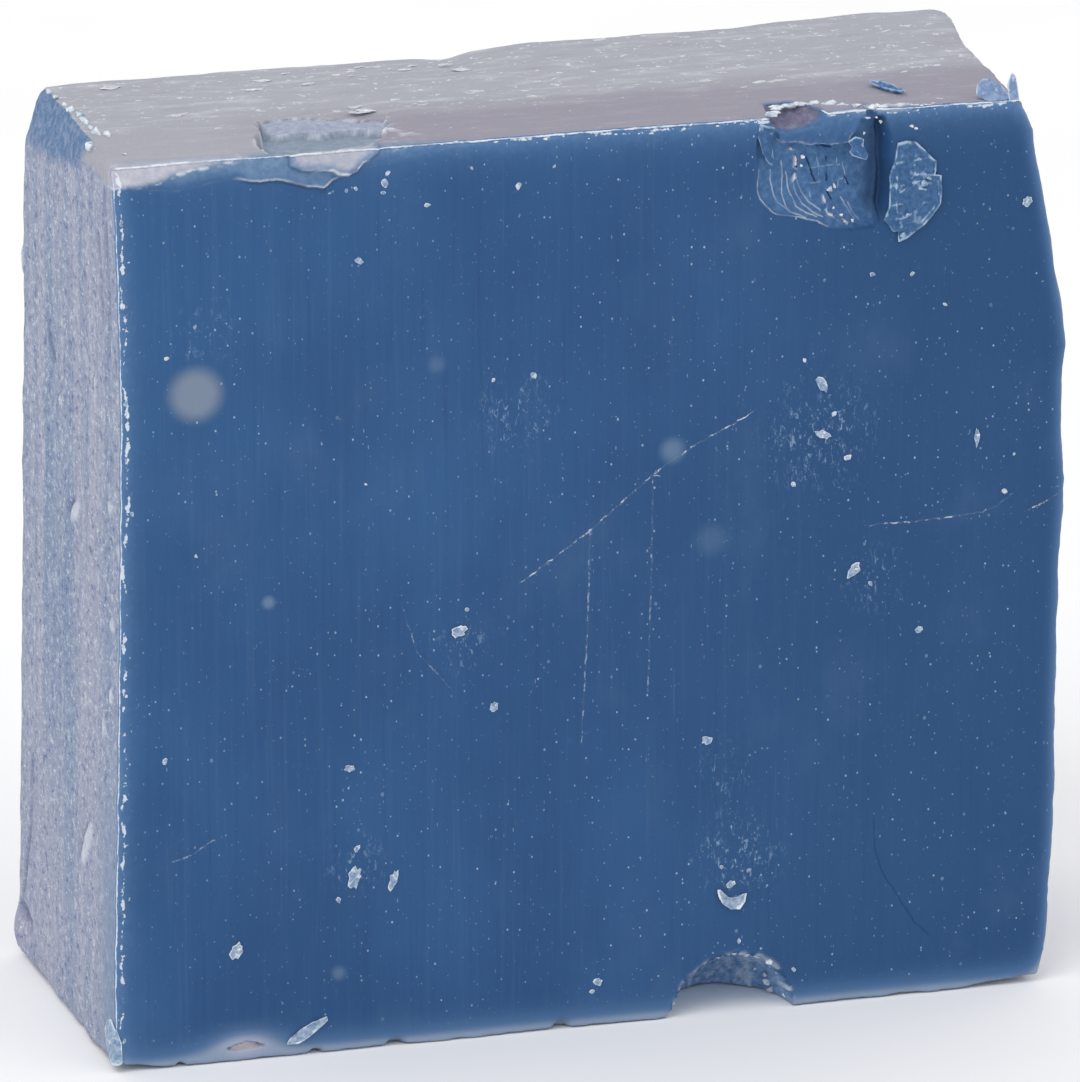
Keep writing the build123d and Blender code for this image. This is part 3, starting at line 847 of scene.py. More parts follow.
def leaf(outline, place, thickness, curl, seed, spokes=30, rings=5, lumps=0.06, veins=(), lean=(0.0, 0.0),
         chalk=1.0, edge=0.8):
    """A thin ragged chip. place(u, v, h) puts a spot h above the surface.

    Curl lifts its rim and lean tips it; chalk is how white its veins and spots are.
    """
    rim_line = resample(outline, spokes)
    centre = rim_line.mean(axis=0)
    size = np.linalg.norm(rim_line - centre, axis=1).max()
    flat = np.column_stack([rim_line, np.zeros(spokes)])
    rim_line = rim_line + 0.05 * layered(flat, 0.35 * size, seed)[:, None] * (rim_line - centre)
    fractions = np.linspace(0, 1, rings + 1)[1:] ** 0.8
    spots = [centre] + [centre + f * (r - centre) for f in fractions for r in rim_line]
    spots = np.array(spots)
    f = np.concatenate([[0.0], np.repeat(fractions, spokes)])
    flat = np.column_stack([spots, np.zeros(len(spots))])
    tip = ((spots - centre) @ np.array(lean)) / max(size, 1e-6)
    level = curl * f ** 2.2 + np.maximum(tip, -0.02) + lumps * layered(flat, 0.7, seed + 1)
    body = thickness * (1 - 0.65 * f ** 3) * (1 + 0.35 * layered(flat, 0.5, seed + 2))
    vein = line_marks(spots[:, 0], spots[:, 1], veins, 0.09) if veins else np.zeros(len(spots))
    vein = vein * smooth(-0.5, 0.2, layered(flat, 0.6, seed + 3))
    upper = [place(u, v, h) for (u, v), h in zip(spots, level + body + 0.07 * vein)]
    lower = [place(u, v, h) for (u, v), h in zip(spots, level - 0.05)]
    count = len(spots)
    faces = []
    for i in range(spokes):
        j = (i + 1) % spokes
        faces += [(0, 1 + i, 1 + j), (count, count + 1 + j, count + 1 + i)]
        for r in range(rings - 1):
            a, b = 1 + r * spokes + i, 1 + r * spokes + j
            c, d = a + spokes, b + spokes
            faces += [(a, c, d, b), (count + b, count + d, count + c, count + a)]
        a, b = 1 + (rings - 1) * spokes + i, 1 + (rings - 1) * spokes + j
        faces.append((a, count + a, count + b, b))
    patchy = np.clip(0.55 + 1.0 * layered(flat, 0.7, seed + 4), 0.1, 1.0)
    spotted = smooth(0.25, 0.5, layered(flat, 0.4, seed + 6))
    rim = np.clip(smooth(edge, 1.0, f) * patchy + chalk * (0.8 * vein + 0.5 * spotted), 0, 1)
    return upper + lower, faces, np.concatenate([rim, rim])


def crumb(centre, size, seed, squash=(1.0, 0.8, 0.8)):
    """A broken grain with flat sides, roughened."""
    chance = np.random.default_rng(1000 + seed)
    cloud = chance.normal(size=(13, 3))
    cloud = cloud / np.linalg.norm(cloud, axis=1, keepdims=True) * chance.uniform(0.7, 1.0, (13, 1))
    bm = bmesh.new()
    for spot in cloud:
        bm.verts.new(spot)
    bmesh.ops.convex_hull(bm, input=bm.verts)
    bmesh.ops.delete(bm, geom=[v for v in bm.verts if not v.link_faces], context="VERTS")
    bmesh.ops.subdivide_edges(bm, edges=bm.edges[:], cuts=2, use_grid_fill=True)
    bm.verts.index_update()
    ball = np.array([v.co[:] for v in bm.verts])
    faces = [[v.index for v in face.verts] for face in bm.faces]
    bm.free()
    shift = ball + np.array([seed * 3.7, seed * 1.3, seed * 2.1])
    shape = ball * (1 + 0.22 * layered(shift, 0.6, seed))[:, None]
    points = shape * np.array(squash) * size + np.array(centre)
    rim = 0.55 + 0.6 * layered(shift, 0.8, seed + 9)
    return points, faces, np.clip(rim, 0, 1)


def on_front_at(x0, z0, sink=0.06):
    def place(u, v, h):
        return (x0 + u, FRONT + sink - h, z0 + v)
    return place


def on_top_at(x0, y0, sink=0.06):
    def place(u, v, h):
        return (x0 + u, y0 + v, HEIGHT + top_rise(x0 + u, y0 + v) - sink + h)
    return place


def standing_at(x0, y0, tilt):
    """For a chip that stands on the top face: v runs upwards, and tilt leans it to the back."""
    def place(u, v, h):
        return (x0 + u, y0 + tilt * v - h, HEIGHT + v)
    return place


def round_corner_at(x0):
    """For a chip wrapped round the upright front left edge: spots with u below 0 lie on the left side."""
    def place(u, v, h):
        if u < 0:
            return (x0 - h, FRONT - SIDE_STRETCH * u, v)
        return (x0 + u, FRONT - h, v)
    return place


# a cup-shaped scale, and the flakes as (x, z, length, width, turn)
CUP_AT = (12.2, 10.1)
CUP = [
    (-1.35, 0.85), (-1.25, 0.1), (-0.85, -0.5), (-0.15, -1.0), (0.6, -1.0), (1.05, -0.45), (1.2, 0.35),
    (0.95, 0.3), (0.6, 0.05), (0.1, 0.0), (-0.45, 0.1), (-0.9, 0.35), (-1.1, 0.85),
]
FRONT_FLAKES = [
    (12.0, 11.3, 1.0, 0.7, 20), (-20.6, 15.0, 2.4, 1.4, 75), (-17.3, 14.5, 2.2, 0.9, 70),
    (-11.6, 35.6, 1.7, 1.2, 30), (22.6, 37.8, 1.9, 1.2, 40), (19.7, 54.2, 1.8, 1.0, 110),
    (19.8, 49.9, 1.7, 0.8, -20), (33.3, 48.5, 1.9, 0.5, 90), (-30.8, 9.6, 2.0, 1.3, 60),
    (-21.0, 24.6, 1.0, 0.7, 0), (-8.6, 28.8, 1.0, 0.8, 60), (9.9, 24.2, 1.1, 0.9, 15),
    (0.4, 3.8, 1.0, 0.8, 0), (28.4, 32.2, 0.8, 0.6, 30), (37.4, 68.5, 1.1, 0.9, 45),
    (-20.0, 67.9, 0.9, 0.6, -10),
]
# as (x, z, size)
SMALL_FLECKS = [
    (-14.2, 72.2, 0.7), (-8.6, 56.9, 0.6), (-5.2, 57.0, 0.9), (17.3, 45.8, 0.7), (22.0, 47.7, 0.8),
    (-36.7, 26.6, 0.7), (-33.9, 44.0, 0.5), (24.0, 63.3, 0.6), (27.5, 63.1, 0.6), (12.8, 6.2, 0.7),
    (17.6, 3.2, 0.6), (-0.1, 3.0, 0.6), (-20.4, 17.6, 0.8), (-22.0, 13.2, 0.7), (-19.5, 48.9, 0.4),
    (13.6, 12.4, 0.6), (11.2, 12.9, 0.5), (24.1, 36.6, 0.6), (-10.9, 37.4, 0.6), (20.8, 51.6, 0.6),
    (18.2, 56.4, 0.5), (30.4, 60.2, 0.5), (-36.2, 61.0, 0.6), (-33.8, 63.4, 0.5), (-17.8, 74.3, 1.1),
    (-17.9, 73.5, 0.6), (-17.5, 75.1, 0.6), (-21.0, 73.9, 0.5), (-20.2, 74.0, 0.5), (-22.4, 73.8, 0.4),
    (-6.4, 73.2, 0.9), (-10.4, 75.0, 0.5), (-9.2, 75.2, 0.4), (-3.4, 74.6, 0.4), (36.6, 46.8, 0.4),
    (35.8, 43.6, 0.8),
]
# thin clay that hangs on the gouge, as (x, z)
LOBE = [
    (26.1, 74.4), (27.6, 74.4), (28.2, 73.8), (28.9, 73.1), (29.4, 72.7), (29.4, 71.8), (29.3, 71.5),
    (29.8, 71.4), (29.9, 70.2), (29.8, 69.0), (29.2, 68.2), (28.4, 67.2), (27.2, 66.4), (26.2, 65.9),
    (26.2, 66.9), (25.7, 66.8), (24.9, 67.8), (25.4, 69.0), (25.4, 70.5), (25.4, 71.6), (25.9, 73.0),
]
LOBE_VEINS = [
    [(25.9, 72.7), (27.3, 72.8), (29.3, 73.1)], [(27.5, 72.5), (27.6, 71.6), (29.3, 71.5)],
    [(26.3, 70.2), (27.2, 70.8), (28.4, 71.2)], [(25.6, 69.1), (26.3, 69.2), (26.9, 69.0)],
    [(29.5, 71.0), (29.6, 69.6), (29.1, 68.6), (28.2, 67.7)], [(28.2, 71.0), (28.0, 70.4), (28.5, 70.3)],
    [(26.3, 67.9), (27.3, 68.3)], [(26.0, 71.4), (25.9, 69.8), (26.1, 68.4)],
]
TONGUE = [
    (21.8, 74.8), (22.2, 74.3), (21.9, 73.9), (22.2, 73.6), (22.7, 73.4), (23.3, 73.2), (23.5, 73.6),
    (23.1, 74.4), (23.2, 74.9), (22.5, 75.2),
]
HANGING = [
    (14.2, 76.9), (14.0, 75.9), (14.2, 75.2), (14.4, 74.4), (14.8, 73.6), (15.2, 73.3), (15.4, 73.6),
    (15.3, 74.4), (15.0, 75.3), (15.5, 76.4),
]
# a flake wrapped round the upright edge, as (x from the edge, z)
CORNER_FLAKE = [
    (-0.2, 0.5), (-0.75, 1.2), (-0.95, 2.4), (-0.7, 3.9), (-0.3, 4.4), (0.1, 3.6), (0.45, 2.4),
    (0.5, 0.8),
]
SIDE_STRETCH = 3.3
# where the torn crumbs over the gouge lie on the top face, as (x, y)
TORN_RIM = [
    (15.4, -15.2), (16.2, -13.4), (17.6, -12.7), (20.2, -12.6), (22.2, -13.8), (24.2, -15.2),
    (30.5, -15.6),
]
# thin pieces, each round its own place
LONG_SHAVING = [
    (-1.9, -0.9), (-0.9, -0.9), (0.4, -0.2), (1.7, 0.9), (1.6, 1.2), (0.5, 0.9), (-0.7, 0.3),
    (-1.7, -0.5),
]
TOP_SHAVING = [
    (-0.9, 2.3), (-0.2, 1.6), (0.5, 0.2), (0.9, -1.4), (0.8, -2.4), (0.2, -1.6), (-0.5, -0.2),
    (-1.0, 1.4),
]
FAN = [
    (-1.4, 0.3), (-1.2, 1.1), (-0.6, 1.5), (0.2, 1.45), (1.0, 0.8), (1.5, 0.1), (0.6, -0.2), (-0.6, 0.0),
]
BLADE = [(-0.4, 0.0), (-0.5, 1.2), (-0.1, 2.2), (0.2, 2.0), (0.4, 1.0), (0.5, -0.3), (0.1, -0.5)]
# crumbs: on the lobe as (x, z, size), in the gouge as (x, depth, z, size), along the chip as (x, y, size)
LOBE_CRUMBS = [(28.3, 70.9, 0.42), (28.7, 71.3, 0.3), (26.5, 66.6, 0.35), (26.9, 68.3, 0.25)]
GOUGE_CRUMBS = [
    (20.6, 0.9, 70.6, 0.42), (20.9, 0.9, 70.9, 0.3), (19.7, 0.9, 70.15, 0.2), (20.8, 0.8, 69.0, 0.25),
    (21.5, 0.7, 68.4, 0.22), (22.4, 0.6, 67.9, 0.22), (18.0, 0.4, 73.7, 0.25), (17.9, 0.5, 72.9, 0.2),
    (27.3, 0.0, 75.7, 0.25), (27.7, 0.0, 75.5, 0.2), (24.7, 0.3, 76.2, 0.22), (23.2, 0.1, 75.4, 0.16),
]
CHIP_CRUMBS = [
    (-39.5, 9.2, 0.4), (-39.4, 7.2, 0.5), (-39.3, 4.6, 0.45), (-39.2, 2.7, 0.75), (-39.0, 0.9, 0.8),
    (-39.0, -0.4, 0.6), (-39.1, -1.4, 0.8), (-39.2, -3.2, 0.6), (-39.0, -5.0, 1.0), (-39.6, -6.3, 0.8),
    (-40.2, -7.6, 0.9), (-38.3, -5.8, 0.7), (-39.9, -8.9, 0.6), (-38.6, -12.2, 0.4),
]
# flakes on the top face, as (x, y, length, width, turn)
TOP_FLAKES = [
    (30.4, -14.0, 0.7, 0.5, -30), (-34.2, 9.6, 2.4, 1.3, 10), (-31.5, -1.3, 1.8, 0.8, -15),
    (-29.2, -6.4, 1.5, 0.7, 20), (33.6, -3.4, 1.2, 0.8, -20),
]


def one_leaf(name, material, node, *shape, **finish):
    """A piece that is a single chip of thin clay."""
    pile = Pile()
    pile.add(*leaf(*shape, **finish))
    pile.piece(name, material, "thin_clay", node)


def front_flakes(crumbly):
    pile = Pile()
    for i, (x, z, length, width, turn) in enumerate(FRONT_FLAKES):
        outline = oval(length, width, turn, 11 + i)
        pile.add(*leaf(outline, on_front_at(x, z), 0.13, 0.12, 100 + i, spokes=40, rings=7, lumps=0.16))
        pile.add(*crumb((x + 0.2 * width, FRONT - 0.12, z + 0.15), 0.13 * length, 40 + i, (1.0, 0.5, 0.8)))
    for i, (x, z, size) in enumerate(SMALL_FLECKS):
        outline = oval(size, 0.7 * size, 50 * i, 60 + i, corners=7)
        pile.add(*leaf(outline, on_front_at(x, z), 0.12, 0.06, 200 + i, spokes=16, rings=3, lumps=0.05))
    pile.add(*leaf(CUP, on_front_at(*CUP_AT), 0.14, 0.22, 99, spokes=90, rings=12, lumps=0.14))
    pile.piece("front_flakes_shown", crumbly, "pale_crumb", "front_flakes")
    one_leaf("front_shaving_shown", crumbly, "front_long_shaving", LONG_SHAVING, on_front_at(-24.7, 1.95),
             0.18, 0.25, 301, spokes=48, rings=7, lumps=0.14)


def gouge_pieces(thin, crumbly):
    lobe = Pile()
    lobe.add(*leaf(LOBE, on_front_at(0, 0, 0.02), 0.28, 0.12, 311, spokes=130, rings=26, lumps=0.07,
                   veins=LOBE_VEINS, lean=(0.35, -0.1), chalk=0.8, edge=0.9))
    for i, (x, z, size) in enumerate(LOBE_CRUMBS):
        lobe.add(*crumb((x, FRONT - 0.55, z), size, 70 + i, (1.0, 0.5, 0.8)))
    lobe.piece("gouge_lobe_shown", thin, "thin_clay", "gouge_shell_lobe")
    one_leaf("gouge_tongue_shown", thin, "gouge_torn_tongue", TONGUE, on_front_at(0, 0, 0.12),
             0.2, 0.12, 321, spokes=60, rings=9, lumps=0.05, lean=(0, -0.3))
    one_leaf("gouge_flake_shown", thin, "gouge_hanging_flake", HANGING, on_front_at(0, 0, 0.1),
             0.22, 0.1, 331, spokes=60, rings=9, lumps=0.06, lean=(-0.1, -0.2))
    crumbs = Pile()
    for i, (x, depth, z, size) in enumerate(GOUGE_CRUMBS):
        crumbs.add(*crumb((x, FRONT + depth - 0.05, z), size, 80 + i, (1.0, 0.7, 0.85)))
    crumbs.piece("gouge_crumbs_shown", crumbly, "pale_crumb", "gouge_crumbs")


def top_pieces(pale, chalky, blue):
    one_leaf("top_shaving_shown", blue, "top_blue_shaving", TOP_SHAVING, on_top_at(27.1, -10.2),
             0.16, 0.45, 341, spokes=44, rings=8, lumps=0.1)
    curls = Pile()
    curls.add(*leaf(FAN, standing_at(34.6, -15.2, 0.8), 0.14, 0.3, 351, spokes=48, rings=8, lumps=0.18))
    curls.add(*leaf(BLADE, standing_at(36.2, -15.6, 0.1), 0.2, 0.2, 352, spokes=40, rings=7, lumps=0.12))
    curls.piece("corner_curls_shown", pale, "thin_clay", "top_corner_curls")
    crumbs = Pile()
    flakes = list(TOP_FLAKES)
    chance = np.random.default_rng(7)
    for _ in range(90):
        x, y = chance.uniform(-24, 35), chance.uniform(-6, 11.5)
        size = chance.uniform(0.3, 1.0) ** 1.5 * 2.2
        flakes.append((x, y, size, chance.uniform(0.25, 0.5) * size, chance.uniform(-25, 25)))
    for i, (x, y, length, width, turn) in enumerate(flakes):
        outline = oval(length, width, turn, 400 + i)
        crumbs.add(*leaf(outline, on_top_at(x, y), 0.07, 0.03, 420 + i, spokes=24, rings=4, lumps=0.08))
    crumbs.piece("top_crumbs_shown", chalky, "pale_crumb", "top_crumbs")


def chip_crumbs(crumbly):
    chip = Pile()
    for i, (x, y, size) in enumerate(CHIP_CRUMBS):
        chip.add(*crumb((x, y, HEIGHT - 0.02 - 0.35 * (x < -39.5)), 0.85 * size, 120 + i, (0.8, 1.2, 0.7)))
    chip.piece("chip_crumbs_shown", crumbly, "pale_crumb", "chip_edge_crumbs")


def edge_crumbs(crumbly, chance):
    edge = Pile()
    for i in range(26):
        z = 2.0 + 73.0 * (i + chance.uniform(-0.4, 0.4)) / 26
        size = 0.10 + 0.26 * chance.random() ** 2
        gap = chance.uniform(0.25, 1.15)
        x = float(curve(LEFT_FRONT, z)) + gap
        if chance.random() < 0.8:
            outline = oval(2.6 * size, 1.5 * size, chance.uniform(60, 120), 500 + i, corners=8)
            edge.add(*leaf(outline, on_front_at(x, z), 0.08, 0.04, 520 + i, spokes=20, rings=4, lumps=0.08))
        else:
            edge.add(*crumb((x, FRONT - 0.02, z), 0.7 * size, 130 + i, (0.8, 0.6, 1.1)))
    for i in range(44):
        x = -13 + 50.0 * (i + chance.uniform(-0.4, 0.4)) / 44
        if 15.2 < x < 21.0:
            continue
        size = 0.08 + 0.2 * chance.random() ** 2
        z = HEIGHT - chance.uniform(0.0, 0.7)
        edge.add(*crumb((x, FRONT + 0.02, z), size, 190 + i, (1.2, 0.6, 0.7)))
    # the torn rim of the gouge along the top
    for i in range(44):
        x = 15.6 + 0.34 * i + chance.uniform(-0.15, 0.15)
        y = float(curve(TORN_RIM, x)) + chance.uniform(-0.3, 0.3)
        size = (0.22 + 0.36 * chance.random()) * float(smooth(31.5, 26.0, x))
        edge.add(*crumb((x, y, HEIGHT + 0.02), max(size, 0.1), 240 + i, (1.5, 0.9, 0.6)))
    edge.piece("edge_crumbs_shown", crumbly, "pale_crumb", "edge_crumbs")


def bite_crumbs(crumbly, chance):
    bite_grains = Pile()
    for i in range(34):
        angle = math.pi * (i + chance.uniform(-0.4, 0.4)) / 34
        inward = chance.random() ** 1.5
        reach = 1.0 - 0.3 * inward
        x = BITE_CENTRE[0] + BITE_HALF_WIDTH * reach * math.cos(angle)
        z = BITE_CENTRE[1] + BITE_HEIGHT * reach * math.sin(angle)
        deep = BITE_DEPTH * math.sqrt(max(1 - reach * reach, 0.0))
        size = 0.16 + 0.34 * chance.random() ** 1.5
        bite_grains.add(*crumb((x, FRONT + deep * 0.8, max(z, 0.4)), size, 270 + i, (1.0, 0.9, 0.8)))
    bite_grains.piece("bite_crumbs_shown", crumbly, "pale_crumb", "scallop_crumbs")


def edge_pieces(crumbly):
    chance = np.random.default_rng(5)
    chip_crumbs(crumbly)
    edge_crumbs(crumbly, chance)
    foot = float(curve(LEFT_FRONT, 2.0))
    one_leaf("corner_flake_shown", crumbly, "bottom_corner_flake", CORNER_FLAKE, round_corner_at(foot),
             0.2, 0.1, 361, spokes=50, rings=9, lumps=0.08)
    bite_crumbs(crumbly, chance)


# lumps sealed in the clay, as (x, depth, z, radius)
LARGE_LUMP = [(-33.8, 2.7, 57.7, 2.2)]
SMALL_LUMPS = [
    (6.8, 1.6, 49.6, 1.05), (10.2, 2.4, 41.6, 1.15), (-27.8, 0.9, 39.5, 0.55), (-22.0, 1.0, 6.8, 0.6),
]


def sealed_lumps(material):
    for node, lumps in (("large_pale_inclusion", LARGE_LUMP), ("small_pale_inclusions", SMALL_LUMPS)):
        pile = Pile()
        for i, (x, depth, z, radius) in enumerate(lumps):
            pile.add(*crumb((x, FRONT + depth + 0.2, z), 0.8 * radius, 330 + i, (1.0, 0.7, 1.0)))
        pile.piece(node + "_shown", material, "pale_lump", node)


# ---------------------------------------------------------------- materials

class Graph:
    """Short names for the shader nodes that the materials use."""

    def __init__(self, name):
        self.material = bpy.data.materials.new(name)
        self.material.use_nodes = True
        self.tree = self.material.node_tree
        self.shader = self.tree.nodes["Principled BSDF"]
        in_metres = self.node("TexCoord", {}, "Object")
        self.place = self.node("VectorMath", {0: in_metres, "Scale": 1 / MM}, operation="SCALE")

    def link(self, value, socket):
        if isinstance(value, bpy.types.NodeSocket):
            self.tree.links.new(value, socket)
        else:
            socket.default_value = value

    def node(self, kind, inputs, output=0, **settings):
        node = self.tree.nodes.new("ShaderNode" + kind)
        for key, value in settings.items():
            setattr(node, key, value)
        for key, value in inputs.items():
            self.link(value, node.inputs[key])
        return node.outputs[output]

    def math(self, operation, a, b=0.0, clamp=False):
        return self.node("Math", {0: a, 1: b}, operation=operation, use_clamp=clamp)

    def times(self, a, b):
        return self.math("MULTIPLY", a, b)

    def plus(self, a, b, clamp=False):
        return self.math("ADD", a, b, clamp)

    def minus(self, a, b):
        return self.math("SUBTRACT", a, b)

    def most(self, a, b):
        return self.math("MAXIMUM", a, b)

    def size(self, a):
        return self.math("ABSOLUTE", a)

    def ramp(self, value, low, high, bottom=0.0, top=1.0):
        """Runs smoothly from bottom to top while value runs from low to high."""
        inputs = {"Value": value, "From Min": low, "From Max": high, "To Min": bottom, "To Max": top}
        return self.node("MapRange", inputs, interpolation_type="SMOOTHSTEP")

    def mix(self, factor, a, b):
        return self.node("Mix", {"Factor": factor, 6: colour(a), 7: colour(b)}, 2, data_type="RGBA")

    def stretch(self, scale):
        return self.node("VectorMath", {0: self.place, 1: scale}, operation="MULTIPLY")

    def noise(self, scale, detail=3.0, rough=0.55, warp=0.0):
        """Noise from 0 to 1, with scale lumps to the millimetre along each axis."""
        scale = scale if isinstance(scale, tuple) else (scale, scale, scale)
        return self.node("TexNoise", {"Vector": self.stretch(scale), "Scale": 1.0, "Detail": detail,
                                      "Roughness": rough, "Distortion": warp}, "Fac")

    def veil(self, skin, texture, low, high, most, tint):
        """Tints the skin where a texture runs from low to high, by up to most."""
        return self.mix(self.ramp(texture, low, high, 0.0, most), skin, tint)

    def patch(self, skin, amount, texture, low, high, tones):
        """Covers the skin by amount with a mottled colour between its two tones."""
        return self.mix(amount, skin, self.mix(self.ramp(texture, low, high), *tones))

    def sway(self, scale, detail, rough, amount):
        """Noise about zero."""
        return self.times(self.minus(self.noise(scale, detail, rough), 0.5), amount)

    def dots(self, scale, size, share):
        """Round specks: share of the cells hold one, of up to size times the cell."""
        node = self.tree.nodes.new("ShaderNodeTexVoronoi")
        self.link(self.stretch(scale), node.inputs["Vector"])
        node.inputs["Scale"].default_value = 1.0
        chance, shade = (self.node("SeparateColor", {0: node.outputs["Color"]}, i) for i in (0, 1))
        inside = self.minus(self.times(self.ramp(chance, 1.0 - share, 1.0), size), node.outputs["Distance"])
        return self.times(self.ramp(inside, 0.0, size * 0.3), self.ramp(shade, 0.0, 1.0, 0.25, 1.0))

    def dress(self, looks):
        """Sets the shader's sockets: a node's output is linked, anything else is the socket's own value."""
        for key, value in looks.items():
            self.link(value, self.shader.inputs[key])

    def mark(self, name):
        return self.node("Attribute", {}, "Fac", attribute_name=name)

    def axis(self, index):
        return self.node("SeparateXYZ", {0: self.place}, index)

    def spot(self, x, z, core, reach):
        """A soft round patch about a point of the front face."""
        gap = self.node("VectorMath", {0: self.place, 1: (x, FRONT, z)}, "Value", operation="DISTANCE")
        return self.ramp(gap, reach, core)

    def bump(self, height, distance, strength, under=None):
        inputs = {"Strength": strength, "Distance": distance * MM, "Height": height}
        if under is not None:
            inputs["Normal"] = under
        return self.node("Bump", inputs)


def colour(value):
    if isinstance(value, tuple) and len(value) == 3:
        return (*(srgb(c) for c in value), 1.0)
    return value


def srgb(c):
    """0 to 255 as seen on a screen, to the linear amount that Blender wants."""
    c = c / 255
    return c / 12.92 if c <= 0.04045 else ((c + 0.055) / 1.055) ** 2.4


DEEP_BLUE = (41, 79, 124)
MID_BLUE = (48, 88, 134)
SHADE_BLUE = (34, 68, 110)
RIGHT_SHADE_BLUE = (36, 72, 114)
HAZE_BLUE = (92, 122, 158)
DUST_BLUE = (100, 124, 158)
BAND_BLUES = ((80, 118, 162), (96, 134, 176))
EDGE_GLOW_BLUE = (72, 106, 148)
GLOW_BLUE = (140, 156, 178)
SPECK_BLUE = (184, 204, 224)
CLOUD_BLUE = (150, 176, 204)
LILAC = (162, 164, 182)
BLUE_GREY = (122, 140, 168)
STROKE_DARK = (84, 104, 144)
SLIT_AND_SHADOW_DARK = (86, 92, 126)
MAUVE = (148, 145, 158)
TOP_GREY = (164, 166, 175)
TOP_PALE = (192, 195, 204)
TOP_DARK = (150, 150, 164)
CHALK = (190, 196, 206)
WHITE = (222, 228, 236)
CHIP_BLUES = ((86, 116, 154), (138, 154, 182))
HOLLOW_GREYS = ((128, 142, 160), (148, 160, 176))
LEDGE_LILACS = ((150, 158, 180), (172, 180, 196))
GOUGE_BLUES = ((58, 94, 138), (84, 122, 164))
PAINTED_SHADE_BLUE = (34, 60, 94)
CRACK_SHADE_BLUE = (34, 62, 98)
LIP_LILACS = ((172, 173, 188), (188, 190, 200))
SMEAR_BLUES = ((100, 130, 162), (124, 148, 176))
SHADED_HOLLOW_MAUVES = ((100, 98, 124), (132, 130, 152))
BITE_BLUES = ((88, 128, 174), (140, 172, 208))
SLOT_GLOW = (164, 170, 192)
SLOT_GLOW_PINK = (206, 200, 208)
LUMP_GREY = (122, 136, 154)
SPOT_GREY = (126, 148, 172)
FLOOR_PALE = (250, 250, 251)
FLOOR_DIM = (247, 247, 248)

# white-flecked clouds and sealed lumps that show through the front face, as (x, z, core, reach, amount)
CLOUDS = [
    (19.5, 50.0, 1.5, 6.5, 0.5), (12.6, 14.0, 0.5, 5.5, 0.55), (-6.5, 54.0, 0.5, 5.0, 0.4),
    (24.5, 37.0, 0.5, 4.0, 0.4), (-11.5, 34.5, 0.3, 3.5, 0.4), (-20.5, 16.5, 0.5, 3.5, 0.4),
    (11.5, 21.5, 0.5, 3.5, 0.35), (-33.0, 63.0, 0.5, 4.0, 0.25),
]
SEALED = [
    (6.8, 49.6, 0.3, 1.5, 0.45), (10.2, 41.6, 0.4, 1.9, 0.16), (-27.8, 39.5, 0.15, 0.8, 0.5),
    (-22.0, 6.8, 0.1, 0.9, 0.35), (-13.4, 58.6, 0.2, 1.1, 0.2),
]


def cut_face(g):
    """The deep blue face that the wire cut: drift, upright wire marks, painted shade towards the right,
    haze and specks.
    """
    drift = g.noise((0.05, 0.05, 0.04), 3)
    blue = g.mix(g.ramp(drift, 0.35, 0.7), DEEP_BLUE, MID_BLUE)
    wire = g.noise((1.9, 1.9, 0.045), 5, 0.7)
    blue = g.veil(blue, wire, 0.50, 0.80, 0.15, HAZE_BLUE)
    blue = g.veil(blue, wire, 0.46, 0.25, 0.35, SHADE_BLUE)
    hair = g.noise((5.5, 5.5, 0.12), 2, 0.5)
    blue = g.veil(blue, hair, 0.70, 0.76, 0.18, HAZE_BLUE)
    # painted shade: the face gets darker towards the right
    blue = g.veil(blue, g.axis(0), -8.0, 40.0, 0.75, RIGHT_SHADE_BLUE)
    haze = g.noise((0.16, 0.16, 0.10), 4, 0.6)
    blue = g.veil(blue, haze, 0.50, 0.85, 0.14, DUST_BLUE)
    mist = g.noise((1.4, 1.4, 0.9), 5, 0.72)
    blue = g.veil(blue, mist, 0.60, 0.80, 0.22, HAZE_BLUE)
    fine = g.dots((1.9, 1.9, 1.5), 0.19, 0.60)
    finer = g.dots((3.1, 3.1, 2.6), 0.22, 0.40)
    coarse = g.dots((0.55, 0.55, 0.48), 0.11, 0.45)
    drips = g.dots((2.6, 2.6, 0.7), 0.16, 0.30)
    specks = g.most(g.most(fine, g.times(g.most(finer, drips), 0.65)), coarse)
    spread = g.ramp(g.noise((0.09, 0.09, 0.07), 3, 0.6), 0.40, 0.62, 0.45, 1.0)
    blue = g.mix(g.times(g.times(specks, spread), 0.75), blue, SPECK_BLUE)
    cloud = g.noise((2.4, 2.4, 1.1), 5, 0.78, 0.6)
    for x, z, core, reach, amount in CLOUDS:
        here = g.times(g.spot(x, z, core, reach), g.ramp(cloud, 0.55, 0.65, 0.0, 1.3 * amount))
        blue = g.mix(here, blue, CLOUD_BLUE)
    blue = g.mix(g.times(g.spot(-33.8, 57.7, 1.2, 2.9), 0.9), blue, LUMP_GREY)
    for x, z, core, reach, amount in SEALED:
        blue = g.mix(g.times(g.spot(x, z, core, reach), amount), blue, SPOT_GREY)
    return blue, wire, haze


